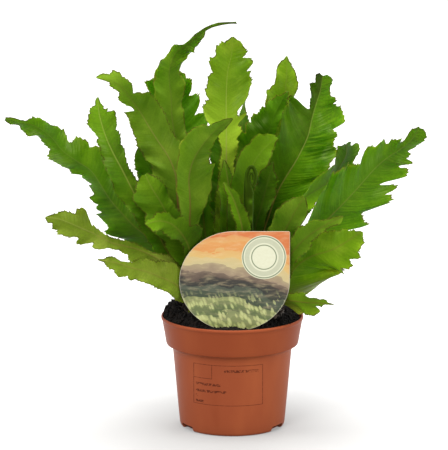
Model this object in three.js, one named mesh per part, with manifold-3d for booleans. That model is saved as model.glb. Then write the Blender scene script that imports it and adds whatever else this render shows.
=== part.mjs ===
// A fern in a round nursery pot, with a picture card pushed into the soil.
// Millimetres, +Z up. The origin is the centre of the pot's underside; the card stands on the -Y side.
import * as THREE from 'three';
import { mergeVertices } from 'three/addons/utils/BufferGeometryUtils.js';
import Module from 'manifold-3d';

const wasm = await Module();
wasm.setup();

// ---------- driving dimensions ----------

const GAP = 0.3;                 // clearance between pieces that touch

const POT_HEIGHT = 95;
const RIM_RADIUS = 60;           // a "12 cm" pot, measured across the rim
const COLLAR_FOOT_RADIUS = 56;   // lower edge of the deep collar
const COLLAR_HEIGHT = 23.5;
const SHOULDER_DROP = 3.5;       // bevel between the collar and the body
const BODY_TOP_RADIUS = 50.4;
const BODY_FOOT_RADIUS = 44.5;
const BASE_RADIUS = 43;
const BASE_CHAMFER = 3;
const WALL = 1.3;
const FLOOR = 1.6;
const LIP_HEIGHT = 2;            // the thicker bead round the rim
const LIP_STEP = 0.5;
const ROUND_SEGMENTS = 60;

const NOTCH_ANGLES = [-60, 60, 180];   // degrees from the front
const NOTCH_WIDTH = 18;
const NOTCH_HEIGHT = 4.5;
const NOTCH_DEPTH = 9;

const CROWN_RADIUS = 45;
const CROWN_TOP = 102;
const CROWN_FOOT = 98.3;
const SOIL_SEAT = CROWN_FOOT - GAP;    // the crown lies in a shallow seat in the soil
const SOIL_CREST = 98.6;
const SOIL_EDGE = 92;
const SOIL_TILT = 3;                   // the soil is banked up at the back and sinks at the front

const CARD_WIDTH = 91.5;
const CARD_TOP = 176;
const CARD_BOTTOM = 91.5;
const CARD_THICKNESS = 0.6;
const CARD_Y = -46.5;
const CARD_X = 1.7;
const CARD_ROUND = 24;                 // facets on the card's round edge
const SPIKE_WIDTH = 11;
const SPIKE_POINT_WIDTH = 3;
const SPIKE_BOTTOM = 62;

const STALK_RISE = 7;                  // every stalk leaves the crown straight up
const STALK_HALF_THICKNESS = 1.1;
const BLADE_HALF_THICKNESS = 0.5;
const TIP_HALF_WIDTH = 0.4;
const LOBE_LEAN = 0.5;                 // margins lean towards the tip, as the veins do
const LEAN_START = 0.12;               // share of the frond over which that lean sets in

// ---------- the fronds ----------
// foot: where the stalk stands on the crown. spine: points that the midrib passes through.
// left, right: half-widths of the blade at even steps from the foot to the tip.
// turn: degrees that the right margin is turned away from the front, at the foot and at the tip.

const FRONDS = [
  {
    name: 'frond_left_long', foot: [-34, -6], turn: [-20, -25],
    spine: [[-62, -16, 157], [-82, -18, 175], [-104, -12, 199], [-117, -8, 219], [-139, -10, 235],
      [-156, -16, 255], [-171, -22, 262], [-187, -30, 267]],
    left: [2, 2, 5, 9, 17, 19, 18, 17, 11, 12, 13, 12, 9, 8, 9, 4, 0],
    right: [2, 2, 8, 13, 14, 12, 15, 16, 17, 17, 17, 17, 13, 11, 7, 2, 0],
  },
  {
    name: 'frond_left_upright', foot: [-28, -20], turn: [25, 15],
    spine: [[-55, -30, 157], [-68, -32, 183], [-80, -30, 202], [-91, -26, 223], [-101, -20, 241],
      [-107, -14, 255], [-111, -8, 269], [-112, -4, 281]],
    left: [2, 2, 5, 9, 10, 10, 10, 10, 10, 11, 12, 12, 11, 3, 10, 7, 0],
    right: [2, 2, 3, 7, 10, 10, 10, 8, 8, 7, 5, 5, 9, 10, 14, 7, 0],
  },
  {
    name: 'frond_centre_left', foot: [-22, -8], turn: [-15, 10],
    spine: [[-40, -14, 162], [-45, -16, 188], [-49, -12, 224], [-57, -8, 237], [-69, -2, 255],
      [-79, 2, 271], [-87, -6, 283], [-96, -18, 296], [-112, -26, 301]],
    left: [2, 3, 5, 8, 8, 7, 11, 18, 24, 23, 18, 15, 5, 8, 5, 2, 0],
    right: [2, 2, 3, 6, 11, 13, 12, 11, 10, 11, 14, 16, 15, 5, 8, 4, 0],
  },
  {
    name: 'frond_tallest', foot: [-14, 6], turn: [15, 25],
    spine: [[-38, 14, 157], [-42, 20, 191], [-47, 24, 233], [-51, 26, 260], [-52, 26, 284],
      [-53, 24, 303], [-47, 22, 315], [-35, 14, 325], [-24, 4, 336], [-10, -6, 343], [3, -16, 345]],
    left: [2, 3, 5, 9, 9, 12, 13, 13, 14, 13, 14, 12, 4, 2, 1, 1, 0],
    right: [2, 2, 3, 8, 12, 10, 10, 10, 10, 10, 10, 11, 13, 6, 2, 1, 0],
  },
  {
    name: 'frond_dark_behind_tallest', foot: [-12, 16], turn: [-20, -5],
    spine: [[-36, 26, 162], [-39, 34, 196], [-44, 42, 229], [-48, 48, 258], [-53, 50, 281],
      [-56, 48, 295]],
    left: [2, 3, 5, 8, 14, 14, 14, 17, 19, 19, 20, 21, 22, 23, 24, 15, 3],
    right: [2, 2, 3, 5, 6, 10, 12, 12, 12, 15, 18, 23, 18, 21, 18, 14, 2],
  },
  {
    name: 'frond_curved_front', foot: [-10, -30], turn: [25, 10],
    spine: [[-34, -34, 166], [-35, -38, 201], [-36, -38, 219], [-32, -40, 235], [-25, -44, 247],
      [-17, -50, 258], [-7, -58, 268], [0, -64, 273]],
    left: [2, 3, 6, 6, 8, 12, 10, 11, 13, 13, 12, 12, 16, 13, 6, 3, 0],
    right: [2, 2, 3, 4, 6, 9, 14, 16, 16, 18, 19, 13, 8, 6, 5, 3, 0],
  },
  {
    name: 'frond_bright_upright', foot: [-2, -8], turn: [-15, -10],
    spine: [[-7, -8, 161], [-5, -12, 204], [-5, -12, 238], [-5, -8, 263], [-5, 0, 287],
      [-3, 6, 307], [0, 8, 319], [0, 8, 330]],
    left: [2, 3, 6, 8, 9, 9, 11, 13, 13, 11, 8, 14, 15, 16, 15, 11, 0],
    right: [2, 2, 3, 5, 7, 7, 6, 5, 5, 8, 9, 17, 20, 19, 17, 9, 1],
  },
  {
    name: 'frond_light_point', foot: [20, 10], turn: [15, 20],
    spine: [[25, 22, 161], [32, 34, 197], [39, 42, 229], [43, 46, 259], [45, 46, 280],
      [46, 44, 297], [46, 42, 309]],
    left: [2, 2, 3, 5, 6, 8, 9, 11, 12, 12, 13, 13, 16, 15, 10, 7, 0],
    right: [2, 2, 5, 8, 10, 11, 11, 12, 12, 11, 10, 9, 9, 6, 9, 4, 0],
  },
  {
    name: 'frond_dark_serrated', foot: [10, 2], turn: [-10, 5],
    spine: [[17, 10, 163], [20, 16, 197], [25, 20, 226], [32, 22, 252], [39, 22, 269], [46, 20, 282]],
    left: [2, 2, 3, 4, 6, 8, 9, 11, 13, 16, 20, 25, 20, 17, 12, 6, 0],
    right: [2, 3, 6, 8, 9, 10, 12, 16, 20, 22, 24, 26, 28, 27, 25, 16, 3],
  },
  {
    name: 'frond_right_centre', foot: [20, -4], turn: [20, 20],
    spine: [[17, -2, 134], [27, 2, 168], [40, 8, 203], [52, 12, 222], [64, 18, 246],
      [68, 22, 264], [73, 26, 278], [76, 30, 294]],
    left: [2, 3, 4, 4, 6, 8, 8, 9, 12, 22, 23, 20, 15, 4, 3, 9, 2],
    right: [2, 3, 8, 13, 15, 16, 18, 22, 25, 26, 27, 26, 22, 26, 17, 10, 2],
  },
  {
    name: 'frond_young_light', foot: [4, -20], turn: [10, -10],
    spine: [[5, -26, 164], [6, -28, 186], [11, -28, 211], [19, -26, 232], [28, -24, 243],
      [37, -24, 250]],
    left: [2, 2, 3, 4, 4, 5, 6, 7, 8, 10, 12, 14, 14, 13, 10, 6, 1],
    right: [2, 2, 3, 4, 4, 4, 5, 6, 7, 10, 13, 15, 16, 14, 10, 5, 0],
  },
  {
    name: 'frond_far_right', foot: [32, -14], turn: [30, 25],
    spine: [[43, -16, 144], [63, -18, 165], [85, -16, 186], [100, -12, 201], [124, -4, 226],
      [140, 2, 236], [152, 6, 246], [157, 8, 253]],
    left: [2, 2, 3, 5, 7, 9, 12, 16, 19, 21, 18, 17, 18, 11, 9, 5, 0],
    right: [2, 3, 5, 9, 13, 15, 18, 22, 24, 24, 29, 12, 25, 17, 10, 9, 1],
  },
  {
    name: 'frond_right_narrow', foot: [30, 0], turn: [35, 45],
    spine: [[40, 0, 159], [50, 4, 180], [62, 8, 195], [72, 12, 201], [84, 16, 209],
      [92, 18, 221], [96, 18, 230], [96, 16, 238]],
    left: [2, 2, 2, 3, 4, 7, 8, 8, 8, 6, 6, 12, 15, 13, 10, 9, 3],
    right: [2, 2, 3, 6, 8, 8, 8, 9, 11, 12, 12, 10, 10, 8, 10, 8, 2],
  },
  {
    name: 'frond_lower_right', foot: [36, -19], turn: [20, 10],
    spine: [[46, -29, 132], [54, -32, 144], [66, -36, 153], [82, -40, 159], [96, -44, 168],
      [106, -47, 176]],
    left: [2, 2, 3, 5, 7, 8, 9, 10, 12, 15, 19, 20, 19, 16, 10, 5, 1],
    right: [2, 3, 6, 12, 18, 22, 24, 25, 24, 22, 18, 17, 13, 12, 9, 5, 1],
  },
  {
    name: 'frond_olive_right', foot: [27, -32], turn: [-15, -5],
    spine: [[42, -38, 141], [48, -42, 155], [57, -47, 167], [67, -54, 177], [78, -60, 185],
      [90, -64, 192]],
    left: [2, 2, 3, 4, 5, 6, 6, 7, 8, 9, 10, 11, 10, 7, 4, 1, 0],
    right: [2, 3, 4, 5, 6, 7, 7, 7, 7, 7, 7, 6, 5, 4, 3, 2, 0],
  },
  {
    name: 'frond_low_right', foot: [33, -27], turn: [30, 30],
    spine: [[49, -44, 117], [56, -50, 117], [63, -56, 118], [72, -62, 119], [83, -68, 119]],
    left: [2, 2, 3, 5, 6, 7, 6, 3, 0],
    right: [2, 3, 5, 8, 12, 10, 5, 2, 0],
  },
  {
    name: 'frond_low_left_upper', foot: [-35, -24], turn: [15, 20],
    spine: [[-50, -38, 143], [-65, -44, 154], [-81, -48, 162], [-98, -52, 167], [-114, -56, 176],
      [-128, -60, 183], [-141, -62, 189], [-153, -64, 191]],
    left: [2, 3, 5, 8, 10, 11, 10, 9, 8, 4, 4, 9, 8, 12, 9, 8, 1],
    right: [2, 2, 4, 8, 8, 5, 4, 3, 3, 4, 5, 3, 6, 13, 7, 4, 0],
  },
  {
    name: 'frond_low_left_lower', foot: [-29, -31], turn: [25, 30],
    spine: [[-48, -48, 132], [-60, -54, 139], [-71, -60, 145], [-82, -66, 149], [-94, -70, 154],
      [-110, -74, 158]],
    left: [2, 2, 4, 7, 9, 11, 11, 9, 9, 9, 9, 7, 9, 9, 5, 2, 0],
    right: [2, 2, 3, 5, 8, 10, 12, 12, 10, 9, 7, 6, 4, 3, 4, 3, 0],
  },
  {
    name: 'frond_short_front', foot: [-20, -36], turn: [15, 10],
    spine: [[-33, -42, 149], [-37, -46, 165], [-43, -50, 176], [-51, -54, 184], [-61, -58, 187],
      [-71, -62, 185]],
    left: [2, 2, 3, 4, 7, 8, 7, 5, 4, 4, 4, 8, 9, 9, 8, 6, 1],
    right: [2, 2, 3, 3, 4, 5, 7, 10, 10, 11, 13, 10, 6, 6, 5, 3, 1],
  },
  {
    name: 'frond_mid_left', foot: [-20, -26], turn: [10, 15],
    spine: [[-38, -31, 153], [-50, -33, 179], [-59, -33, 197], [-67, -32, 210], [-72, -30, 220]],
    left: [2, 2, 2, 3, 4, 7, 9, 11, 12, 14, 16, 17, 18, 16, 12, 8, 3],
    right: [2, 2, 3, 3, 3, 4, 5, 7, 8, 8, 9, 8, 8, 8, 7, 5, 1],
  },
  {
    name: 'frond_dark_left', foot: [-28, 4], turn: [-15, -15],
    spine: [[-44, 0, 157], [-52, 0, 179], [-61, 2, 204], [-69, 4, 220], [-76, 4, 233],
      [-78, 4, 238]],
    left: [2, 3, 5, 8, 12, 15, 15, 15, 15, 15, 16, 16, 15, 13, 11, 5, 0],
    right: [2, 2, 3, 4, 5, 6, 8, 12, 15, 16, 17, 17, 16, 15, 11, 7, 0],
  },
  {
    name: 'frond_right_olive_mid', foot: [24, -24], turn: [-10, -10],
    spine: [[33, -33, 147], [39, -37, 166], [46, -39, 180], [53, -41, 194], [59, -41, 203]],
    left: [2, 2, 3, 3, 4, 5, 7, 8, 9, 11, 12, 13, 13, 10, 7, 4, 1],
    right: [2, 3, 6, 9, 10, 10, 9, 9, 8, 8, 8, 8, 9, 10, 9, 5, 0],
  },
  {
    name: 'frond_dark_centre_right', foot: [20, -12], turn: [-15, -15],
    spine: [[18, -10, 163], [25, -10, 193], [30, -9, 212], [34, -8, 227]],
    left: [2, 2, 2, 2, 2, 3, 4, 6, 7, 8, 9, 10, 10, 9, 8, 5, 0],
    right: [2, 2, 5, 8, 9, 9, 8, 7, 6, 7, 6, 8, 9, 8, 7, 3, 0],
  },
  {
    name: 'frond_centre_green', foot: [-4, -20], turn: [20, 25],
    spine: [[-5, -24, 164], [-3, -26, 188], [-3, -26, 207], [-5, -24, 222], [-7, -22, 231]],
    left: [2, 2, 3, 4, 5, 5, 6, 6, 7, 8, 9, 9, 9, 8, 7, 4, 1],
    right: [2, 2, 3, 4, 5, 6, 7, 7, 8, 8, 8, 8, 7, 6, 5, 3, 1],
  },
  {
    name: 'frond_centre_small', foot: [4, -30], turn: [-5, -10],
    spine: [[9, -37, 158], [8, -39, 177], [4, -40, 193], [-1, -41, 206], [-7, -42, 216]],
    left: [2, 2, 2, 3, 3, 3, 4, 4, 5, 5, 5, 5, 5, 5, 4, 3, 1],
    right: [2, 2, 2, 2, 2, 3, 3, 4, 5, 6, 7, 7, 7, 6, 5, 3, 1],
  },
];

// The fronds at the back arch outwards. azimuth is where they lean (0 is right, 90 is back),
// reach is how far out the tip lies from the foot, top the highest point, droop the tip's fall below it.
const BACK_FRONDS = [
  { name: 'frond_back_left_tall', foot: [-18, 26], azimuth: 115, reach: 95, top: 235, droop: 12, half: 14 },
  { name: 'frond_back_centre', foot: [0, 34], azimuth: 86, reach: 110, top: 215, droop: 25, half: 15 },
  { name: 'frond_back_right_tall', foot: [16, 28], azimuth: 62, reach: 100, top: 240, droop: 15, half: 14 },
  { name: 'frond_back_right', foot: [30, 16], azimuth: 32, reach: 95, top: 195, droop: 8, half: 13 },
  { name: 'frond_back_left', foot: [-37, 15], azimuth: 158, reach: 85, top: 190, droop: 8, half: 12 },
  { name: 'frond_back_upright_left', foot: [-4, 24], azimuth: 98, reach: 58, top: 272, droop: -6, half: 13 },
  { name: 'frond_back_upright_right', foot: [6, 20], azimuth: 84, reach: 52, top: 262, droop: -6, half: 12 },
  { name: 'frond_back_low_left', foot: [-28, 28], azimuth: 132, reach: 110, top: 160, droop: 18, half: 12 },
  { name: 'frond_back_low_right', foot: [30, 28], azimuth: 44, reach: 105, top: 150, droop: 18, half: 12 },
  { name: 'frond_back_low_centre_left', foot: [-12, 38], azimuth: 106, reach: 120, top: 170, droop: 30, half: 13 },
  { name: 'frond_back_low_centre_right', foot: [12, 38], azimuth: 72, reach: 125, top: 155, droop: 28, half: 13 },
];
const BACK_STATIONS = 13;
const BACK_STALK_SHARE = 0.14;

// The young frond that is still rolled up, into a flat spiral that is taller than it is wide.
const COIL_FOOT = [14, -33];
const COIL_CENTRE = [16, 217];
const COIL_STEM_TOP = 192;
const COIL_RADIUS = 5.6;
const COIL_END_RADIUS = 2.2;
const COIL_STRETCH = 2.1;
const COIL_TURNS = 1.25;
const COIL_TUBE_RADIUS = 1.3;
const COIL_STEPS = 48;
const COIL_SIDES = 7;

// ---------- materials ----------

const finish = (color, roughness, metalness = 0) => new THREE.MeshStandardMaterial({ color, roughness, metalness });
const MATERIALS = {
  pot: finish(0xb35432, 0.55),
  soil: finish(0x241812, 0.95),
  crown: finish(0x5a4426, 0.9),
  card: finish(0xd9b98c, 0.4),
  frond: finish(0x4f8a1f, 0.5),
  shadedFrond: finish(0x35631a, 0.55),
};

const group = new THREE.Group();

function addPiece(name, geometry, material) {
  const mesh = new THREE.Mesh(geometry, material);
  mesh.name = name;
  group.add(mesh);
  return mesh;
}

// ---------- solids: joining and cutting ----------

function toSolid(geometry) {
  const bare = geometry.clone();
  bare.deleteAttribute('normal');
  bare.deleteAttribute('uv');
  const merged = mergeVertices(bare, 1e-4);
  return new wasm.Manifold(new wasm.Mesh({
    numProp: 3,
    vertProperties: new Float32Array(merged.attributes.position.array),
    triVerts: new Uint32Array(merged.index.array),
  }));
}

function toGeometry(solid) {
  const mesh = solid.getMesh();
  const geometry = new THREE.BufferGeometry();
  geometry.setAttribute('position', new THREE.BufferAttribute(new Float32Array(mesh.vertProperties), 3));
  geometry.setIndex(new THREE.BufferAttribute(new Uint32Array(mesh.triVerts), 1));
  geometry.computeVertexNormals();
  return geometry;
}

function placed(geometry, x, y, z) {
  geometry.translate(x, y, z);
  return geometry;
}

// Turns a profile of [radius, height] pairs, both ends on the axis, about Z.
function lathe(profile, segments) {
  const points = profile.map(([radius, height]) => new THREE.Vector2(radius, height));
  const geometry = new THREE.LatheGeometry(points, segments);
  geometry.rotateX(Math.PI / 2);
  return geometry;
}

// ---------- pot ----------

const COLLAR_FOOT = POT_HEIGHT - COLLAR_HEIGHT;
const BODY_TOP = COLLAR_FOOT - SHOULDER_DROP;

// Outer radius of the body at a height, on its straight taper.
function bodyRadius(z) {
  const share = (z - BASE_CHAMFER) / (BODY_TOP - BASE_CHAMFER);
  return BODY_FOOT_RADIUS + share * (BODY_TOP_RADIUS - BODY_FOOT_RADIUS);
}

// The pot's inner wall from its floor up to its rim, moved inwards by a clearance.
function innerWall(clearance, top) {
  const inset = WALL + clearance;
  const collarTaper = (RIM_RADIUS - COLLAR_FOOT_RADIUS) / COLLAR_HEIGHT;
  const collarRadius = (z) => COLLAR_FOOT_RADIUS + (z - COLLAR_FOOT) * collarTaper;
  return [
    [bodyRadius(FLOOR + clearance) - inset, FLOOR + clearance],
    [bodyRadius(BODY_TOP) - inset, BODY_TOP],
    [COLLAR_FOOT_RADIUS - inset, COLLAR_FOOT + WALL],
    [collarRadius(top) - inset, top],
  ];
}

function makePot() {
  const outer = [
    [0, 0],
    [BASE_RADIUS, 0],
    [BODY_FOOT_RADIUS, BASE_CHAMFER],
    [BODY_TOP_RADIUS, BODY_TOP],
    [COLLAR_FOOT_RADIUS, COLLAR_FOOT],
    [RIM_RADIUS - LIP_STEP, POT_HEIGHT - LIP_HEIGHT - LIP_STEP],
    [RIM_RADIUS, POT_HEIGHT - LIP_HEIGHT],
    [RIM_RADIUS, POT_HEIGHT - LIP_STEP],
    [RIM_RADIUS - LIP_STEP, POT_HEIGHT],
  ];
  const inner = innerWall(0, POT_HEIGHT).reverse();
  let pot = toSolid(lathe([...outer, ...inner, [0, FLOOR]], ROUND_SEGMENTS));
  for (const angle of NOTCH_ANGLES) {
    const notch = new THREE.BoxGeometry(NOTCH_WIDTH, NOTCH_DEPTH, 2 * NOTCH_HEIGHT);
    placed(notch, 0, -BASE_RADIUS, 0);
    notch.rotateZ(THREE.MathUtils.degToRad(angle));
    pot = pot.subtract(toSolid(notch));
  }
  addPiece('pot', toGeometry(pot), MATERIALS.pot);
}

// ---------- picture card ----------

// The card's outline grown by a margin: round all the way but for a square top right corner.
function cardShape(margin) {
  const halfWidth = CARD_WIDTH / 2 + margin;
  const halfHeight = (CARD_TOP - CARD_BOTTOM) / 2 + margin;
  const middle = (CARD_TOP + CARD_BOTTOM) / 2;
  const shape = new THREE.Shape();
  shape.moveTo(CARD_X + halfWidth, middle);
  shape.lineTo(CARD_X + halfWidth, middle + halfHeight);
  shape.lineTo(CARD_X, middle + halfHeight);
  shape.absellipse(CARD_X, middle, halfWidth, halfHeight, Math.PI / 2, 2 * Math.PI, false);
  return shape;
}

function spikeShape(margin) {
  const shape = new THREE.Shape();
  const top = CARD_BOTTOM + SPIKE_WIDTH;
  shape.moveTo(CARD_X - SPIKE_WIDTH / 2 - margin, top);
  shape.lineTo(CARD_X - SPIKE_POINT_WIDTH / 2 - margin, SPIKE_BOTTOM - margin);
  shape.lineTo(CARD_X + SPIKE_POINT_WIDTH / 2 + margin, SPIKE_BOTTOM - margin);
  shape.lineTo(CARD_X + SPIKE_WIDTH / 2 + margin, top);
  return shape;
}

// A flat plate of the card and its spike, standing upright at the card's place.
function cardPlate(margin) {
  const thickness = CARD_THICKNESS + 2 * margin;
  const options = { depth: thickness, bevelEnabled: false, curveSegments: CARD_ROUND };
  const plates = [cardShape(margin), spikeShape(margin)].map((shape) => {
    const plate = new THREE.ExtrudeGeometry(shape, options);
    plate.rotateX(Math.PI / 2);
    return toSolid(placed(plate, 0, CARD_Y + thickness / 2, 0));
  });
  return plates[0].add(plates[1]);
}

function makeCard() {
  addPiece('picture_card', toGeometry(cardPlate(0)), MATERIALS.card);
}

// ---------- soil and crown ----------

function makeSoil() {
  const seatRadius = CROWN_RADIUS + 1;
  const profile = [
    [0, FLOOR + GAP],
    ...innerWall(GAP, SOIL_EDGE),
    [seatRadius + 10, SOIL_EDGE + 2.5],
    [seatRadius + 7, SOIL_CREST - 1],
    [seatRadius + 3.5, SOIL_CREST],
    [seatRadius + 1, SOIL_CREST - 0.3],
    [seatRadius, SOIL_SEAT],
    [0, SOIL_SEAT],
  ];
  const geometry = lathe(profile, ROUND_SEGMENTS);
  const position = geometry.attributes.position;
  for (let i = 0; i < position.count; i += 1) {
    const radius = Math.hypot(position.getX(i), position.getY(i));
    const onBank = radius > seatRadius + 0.5 && position.getZ(i) > SOIL_EDGE;
    if (onBank) position.setZ(i, position.getZ(i) + (SOIL_TILT * position.getY(i)) / radius);
  }
  const soil = toSolid(geometry).subtract(cardPlate(GAP));
  addPiece('soil', toGeometry(soil), MATERIALS.soil);
}

function makeCrown() {
  const profile = [
    [0, CROWN_FOOT],
    [CROWN_RADIUS - 1, CROWN_FOOT],
    [CROWN_RADIUS, CROWN_FOOT + 1],
    [CROWN_RADIUS, CROWN_TOP - 1.2],
    [CROWN_RADIUS - 1.5, CROWN_TOP],
    [0, CROWN_TOP],
  ];
  addPiece('crown', lathe(profile, ROUND_SEGMENTS), MATERIALS.crown);
}

// ---------- fronds ----------

const UP = new THREE.Vector3(0, 0, 1);
const FRONT = new THREE.Vector3(0, -1, 0);

// A closed thin solid from rings of four corners: left margin, upper face, right margin, lower face.
// Both faces are split from a margin to the middle of the next ring, so a twisted stretch keeps its thickness.
function ringSolid(rings) {
  const sides = rings[0].length;
  const corners = rings.flat();
  const index = [];
  for (let ring = 0; ring + 1 < rings.length; ring += 1) {
    for (let side = 0; side < sides; side += 1) {
      const a = ring * sides + side;
      const b = ring * sides + ((side + 1) % sides);
      const startsAtMargin = side % 2 === 0;
      if (startsAtMargin) index.push(a, b, b + sides, a, b + sides, a + sides);
      else index.push(a, b, a + sides, b, b + sides, a + sides);
    }
  }
  const last = (rings.length - 1) * sides;
  for (let side = 1; side + 1 < sides; side += 1) {
    index.push(0, side + 1, side);
    index.push(last, last + side, last + side + 1);
  }
  const geometry = new THREE.BufferGeometry().setFromPoints(corners);
  geometry.setIndex(index);
  geometry.computeVertexNormals();
  return geometry;
}

// sideAt(tangent) gives the direction of the right margin across the midrib.
function bladeSolid(points, left, right, turn, sideAt) {
  const curve = new THREE.CatmullRomCurve3(points);
  const steps = left.length - 1;
  const rings = [];
  for (let step = 0; step <= steps; step += 1) {
    const share = step / steps;
    const centre = curve.getPointAt(share);
    const tangent = step === 0 ? UP.clone() : curve.getTangentAt(share);
    const angle = THREE.MathUtils.degToRad(THREE.MathUtils.lerp(turn[0], turn[1], share));
    const side = sideAt(tangent).applyAxisAngle(tangent, angle);
    const face = new THREE.Vector3().crossVectors(side, tangent);
    const lean = LOBE_LEAN * Math.min(1, share / LEAN_START);
    const thickness = THREE.MathUtils.lerp(STALK_HALF_THICKNESS, BLADE_HALF_THICKNESS, Math.min(1, 3 * share));
    const margin = (sign, halfWidth) => {
      const width = Math.max(halfWidth, TIP_HALF_WIDTH);
      return centre.clone().addScaledVector(side, sign * width).addScaledVector(tangent, lean * width);
    };
    rings.push([
      margin(-1, left[step]),
      centre.clone().addScaledVector(face, thickness),
      margin(1, right[step]),
      centre.clone().addScaledVector(face, -thickness),
    ]);
  }
  return ringSolid(rings);
}

function stalkStart(foot) {
  const [x, y] = foot;
  return [
    new THREE.Vector3(x, y, CROWN_TOP + GAP),
    new THREE.Vector3(x, y, CROWN_TOP + STALK_RISE),
  ];
}

function makeFronds() {
  const sideAt = (tangent) => new THREE.Vector3().crossVectors(tangent, FRONT).normalize();
  for (const frond of FRONDS) {
    const points = [...stalkStart(frond.foot), ...frond.spine.map((point) => new THREE.Vector3(...point))];
    const blade = bladeSolid(points, frond.left, frond.right, frond.turn, sideAt);
    const material = frond.name.includes('dark') ? MATERIALS.shadedFrond : MATERIALS.frond;
    addPiece(frond.name, blade, material);
  }
}

// Half-widths of a plain strap blade: a thin stalk, a quick swell and a long taper to the tip.
function strapWidths(half) {
  const widths = [];
  for (let step = 0; step < BACK_STATIONS; step += 1) {
    const share = step / (BACK_STATIONS - 1);
    const swell = THREE.MathUtils.smoothstep(share, BACK_STALK_SHARE / 2, 3 * BACK_STALK_SHARE);
    const taper = 1 - THREE.MathUtils.smoothstep(share, 0.6, 1);
    widths.push(2 + (half - 2) * swell * taper - 2 * (1 - taper));
  }
  return widths;
}

function makeBackFronds() {
  for (const frond of BACK_FRONDS) {
    const angle = THREE.MathUtils.degToRad(frond.azimuth);
    const outward = new THREE.Vector3(Math.cos(angle), Math.sin(angle), 0);
    const across = new THREE.Vector3(Math.sin(angle), -Math.cos(angle), 0);
    const [x, y] = frond.foot;
    const at = (share, z) => new THREE.Vector3(x, y, z).addScaledVector(outward, share * frond.reach);
    const rise = frond.top - CROWN_TOP;
    const points = [
      ...stalkStart(frond.foot),
      at(0.12, CROWN_TOP + 0.4 * rise),
      at(0.34, CROWN_TOP + 0.8 * rise),
      at(0.68, frond.top),
      at(1, frond.top - frond.droop),
    ];
    const sideAt = (tangent) => across.clone().addScaledVector(tangent, -across.dot(tangent)).normalize();
    const widths = strapWidths(frond.half);
    addPiece(frond.name, bladeSolid(points, widths, widths, [0, 0], sideAt), MATERIALS.shadedFrond);
  }
}

// A thin stem that ends in a flat spiral, still rolled up.
function makeCoiledFrond() {
  const y = COIL_FOOT[1];
  const [x, z] = COIL_CENTRE;
  const points = [...stalkStart(COIL_FOOT), new THREE.Vector3(x - COIL_RADIUS, y, COIL_STEM_TOP)];
  const turns = COIL_TURNS * 2 * Math.PI;
  for (let angle = 0; angle <= turns; angle += Math.PI / 6) {
    const radius = THREE.MathUtils.lerp(COIL_RADIUS, COIL_END_RADIUS, angle / turns);
    const rise = COIL_STRETCH * radius * Math.sin(angle);
    points.push(new THREE.Vector3(x - radius * Math.cos(angle), y, z + rise));
  }
  const section = new THREE.Shape();
  section.absarc(0, 0, COIL_TUBE_RADIUS, 0, 2 * Math.PI, false);
  const geometry = new THREE.ExtrudeGeometry(section, {
    steps: COIL_STEPS,
    curveSegments: COIL_SIDES,
    bevelEnabled: false,
    extrudePath: new THREE.CatmullRomCurve3(points),
  });
  addPiece('frond_coiled', geometry, MATERIALS.shadedFrond);
}

makePot();
makeSoil();
makeCrown();
makeCard();
makeFronds();
makeBackFronds();
makeCoiledFrond();

export default group;
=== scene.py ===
"""A fern in a round nursery pot, with a picture card pushed into the soil.

Lengths are in millimetres here and become metres when a mesh is made. +Z is up, the card is on the -Y side.
"""
import math
from dataclasses import dataclass, replace

import bpy
import numpy as np
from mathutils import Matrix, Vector, noise


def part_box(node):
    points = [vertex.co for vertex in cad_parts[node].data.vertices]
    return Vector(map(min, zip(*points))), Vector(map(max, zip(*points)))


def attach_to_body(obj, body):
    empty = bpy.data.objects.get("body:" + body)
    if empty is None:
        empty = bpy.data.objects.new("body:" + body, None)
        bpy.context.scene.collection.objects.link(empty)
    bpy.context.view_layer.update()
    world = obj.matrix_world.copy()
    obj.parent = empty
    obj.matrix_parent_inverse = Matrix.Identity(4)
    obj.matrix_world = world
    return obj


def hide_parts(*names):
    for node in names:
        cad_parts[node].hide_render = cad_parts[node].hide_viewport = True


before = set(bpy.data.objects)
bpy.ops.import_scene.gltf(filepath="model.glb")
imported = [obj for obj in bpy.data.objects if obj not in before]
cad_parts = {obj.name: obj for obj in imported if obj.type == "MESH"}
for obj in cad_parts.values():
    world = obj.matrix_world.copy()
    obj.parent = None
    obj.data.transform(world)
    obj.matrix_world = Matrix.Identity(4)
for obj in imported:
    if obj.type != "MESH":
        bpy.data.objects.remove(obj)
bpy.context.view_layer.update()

MM = 0.001
BODY = "root"
SEED = 20

# ---------- camera, light and floor ----------

CAMERA_TARGET = Vector((-7, 0, 172))
CAMERA_DISTANCE = 2500
CAMERA_ELEVATION = 11.3
LENS = 238
SENSOR = 36

SKY_STRENGTH = 1.0
LIGHTS = {                    # place, size, power
    "top_light": ((-100, -250, 2300), 1500, 95),
    "key_light": ((-700, -1600, 1400), 1000, 36),
    "fill_light": ((1700, -900, 700), 1200, 30),
    "left_light": ((-1900, -500, 600), 1000, 14),
    "rim_light": ((500, 1500, 1400), 900, 16),
}
LIGHT_AIM = Vector((0, 0, 150))
FLOOR_SIZE = 12000
FLOOR_COLOUR = (0.2, 0.197, 0.191)
FLOOR_GLOW = (0.17, 0.98)     # the pale floor shines by itself, less close to the pot than far away: a painted soft shadow under the plant
FLOOR_GLOW_AT = (0.0, 0.4)    # between these distances, in metres, from the middle of the painted shadow
FLOOR_SHADOW_MIDDLE = (0, -80, 0)


def aim(obj, place, target):
    obj.location = Vector(place) * MM
    obj.rotation_euler = (Vector(target) - Vector(place)).to_track_quat("-Z", "Y").to_euler()


def add_object(name, data):
    obj = bpy.data.objects.new(name, data)
    bpy.context.scene.collection.objects.link(obj)
    return obj


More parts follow.
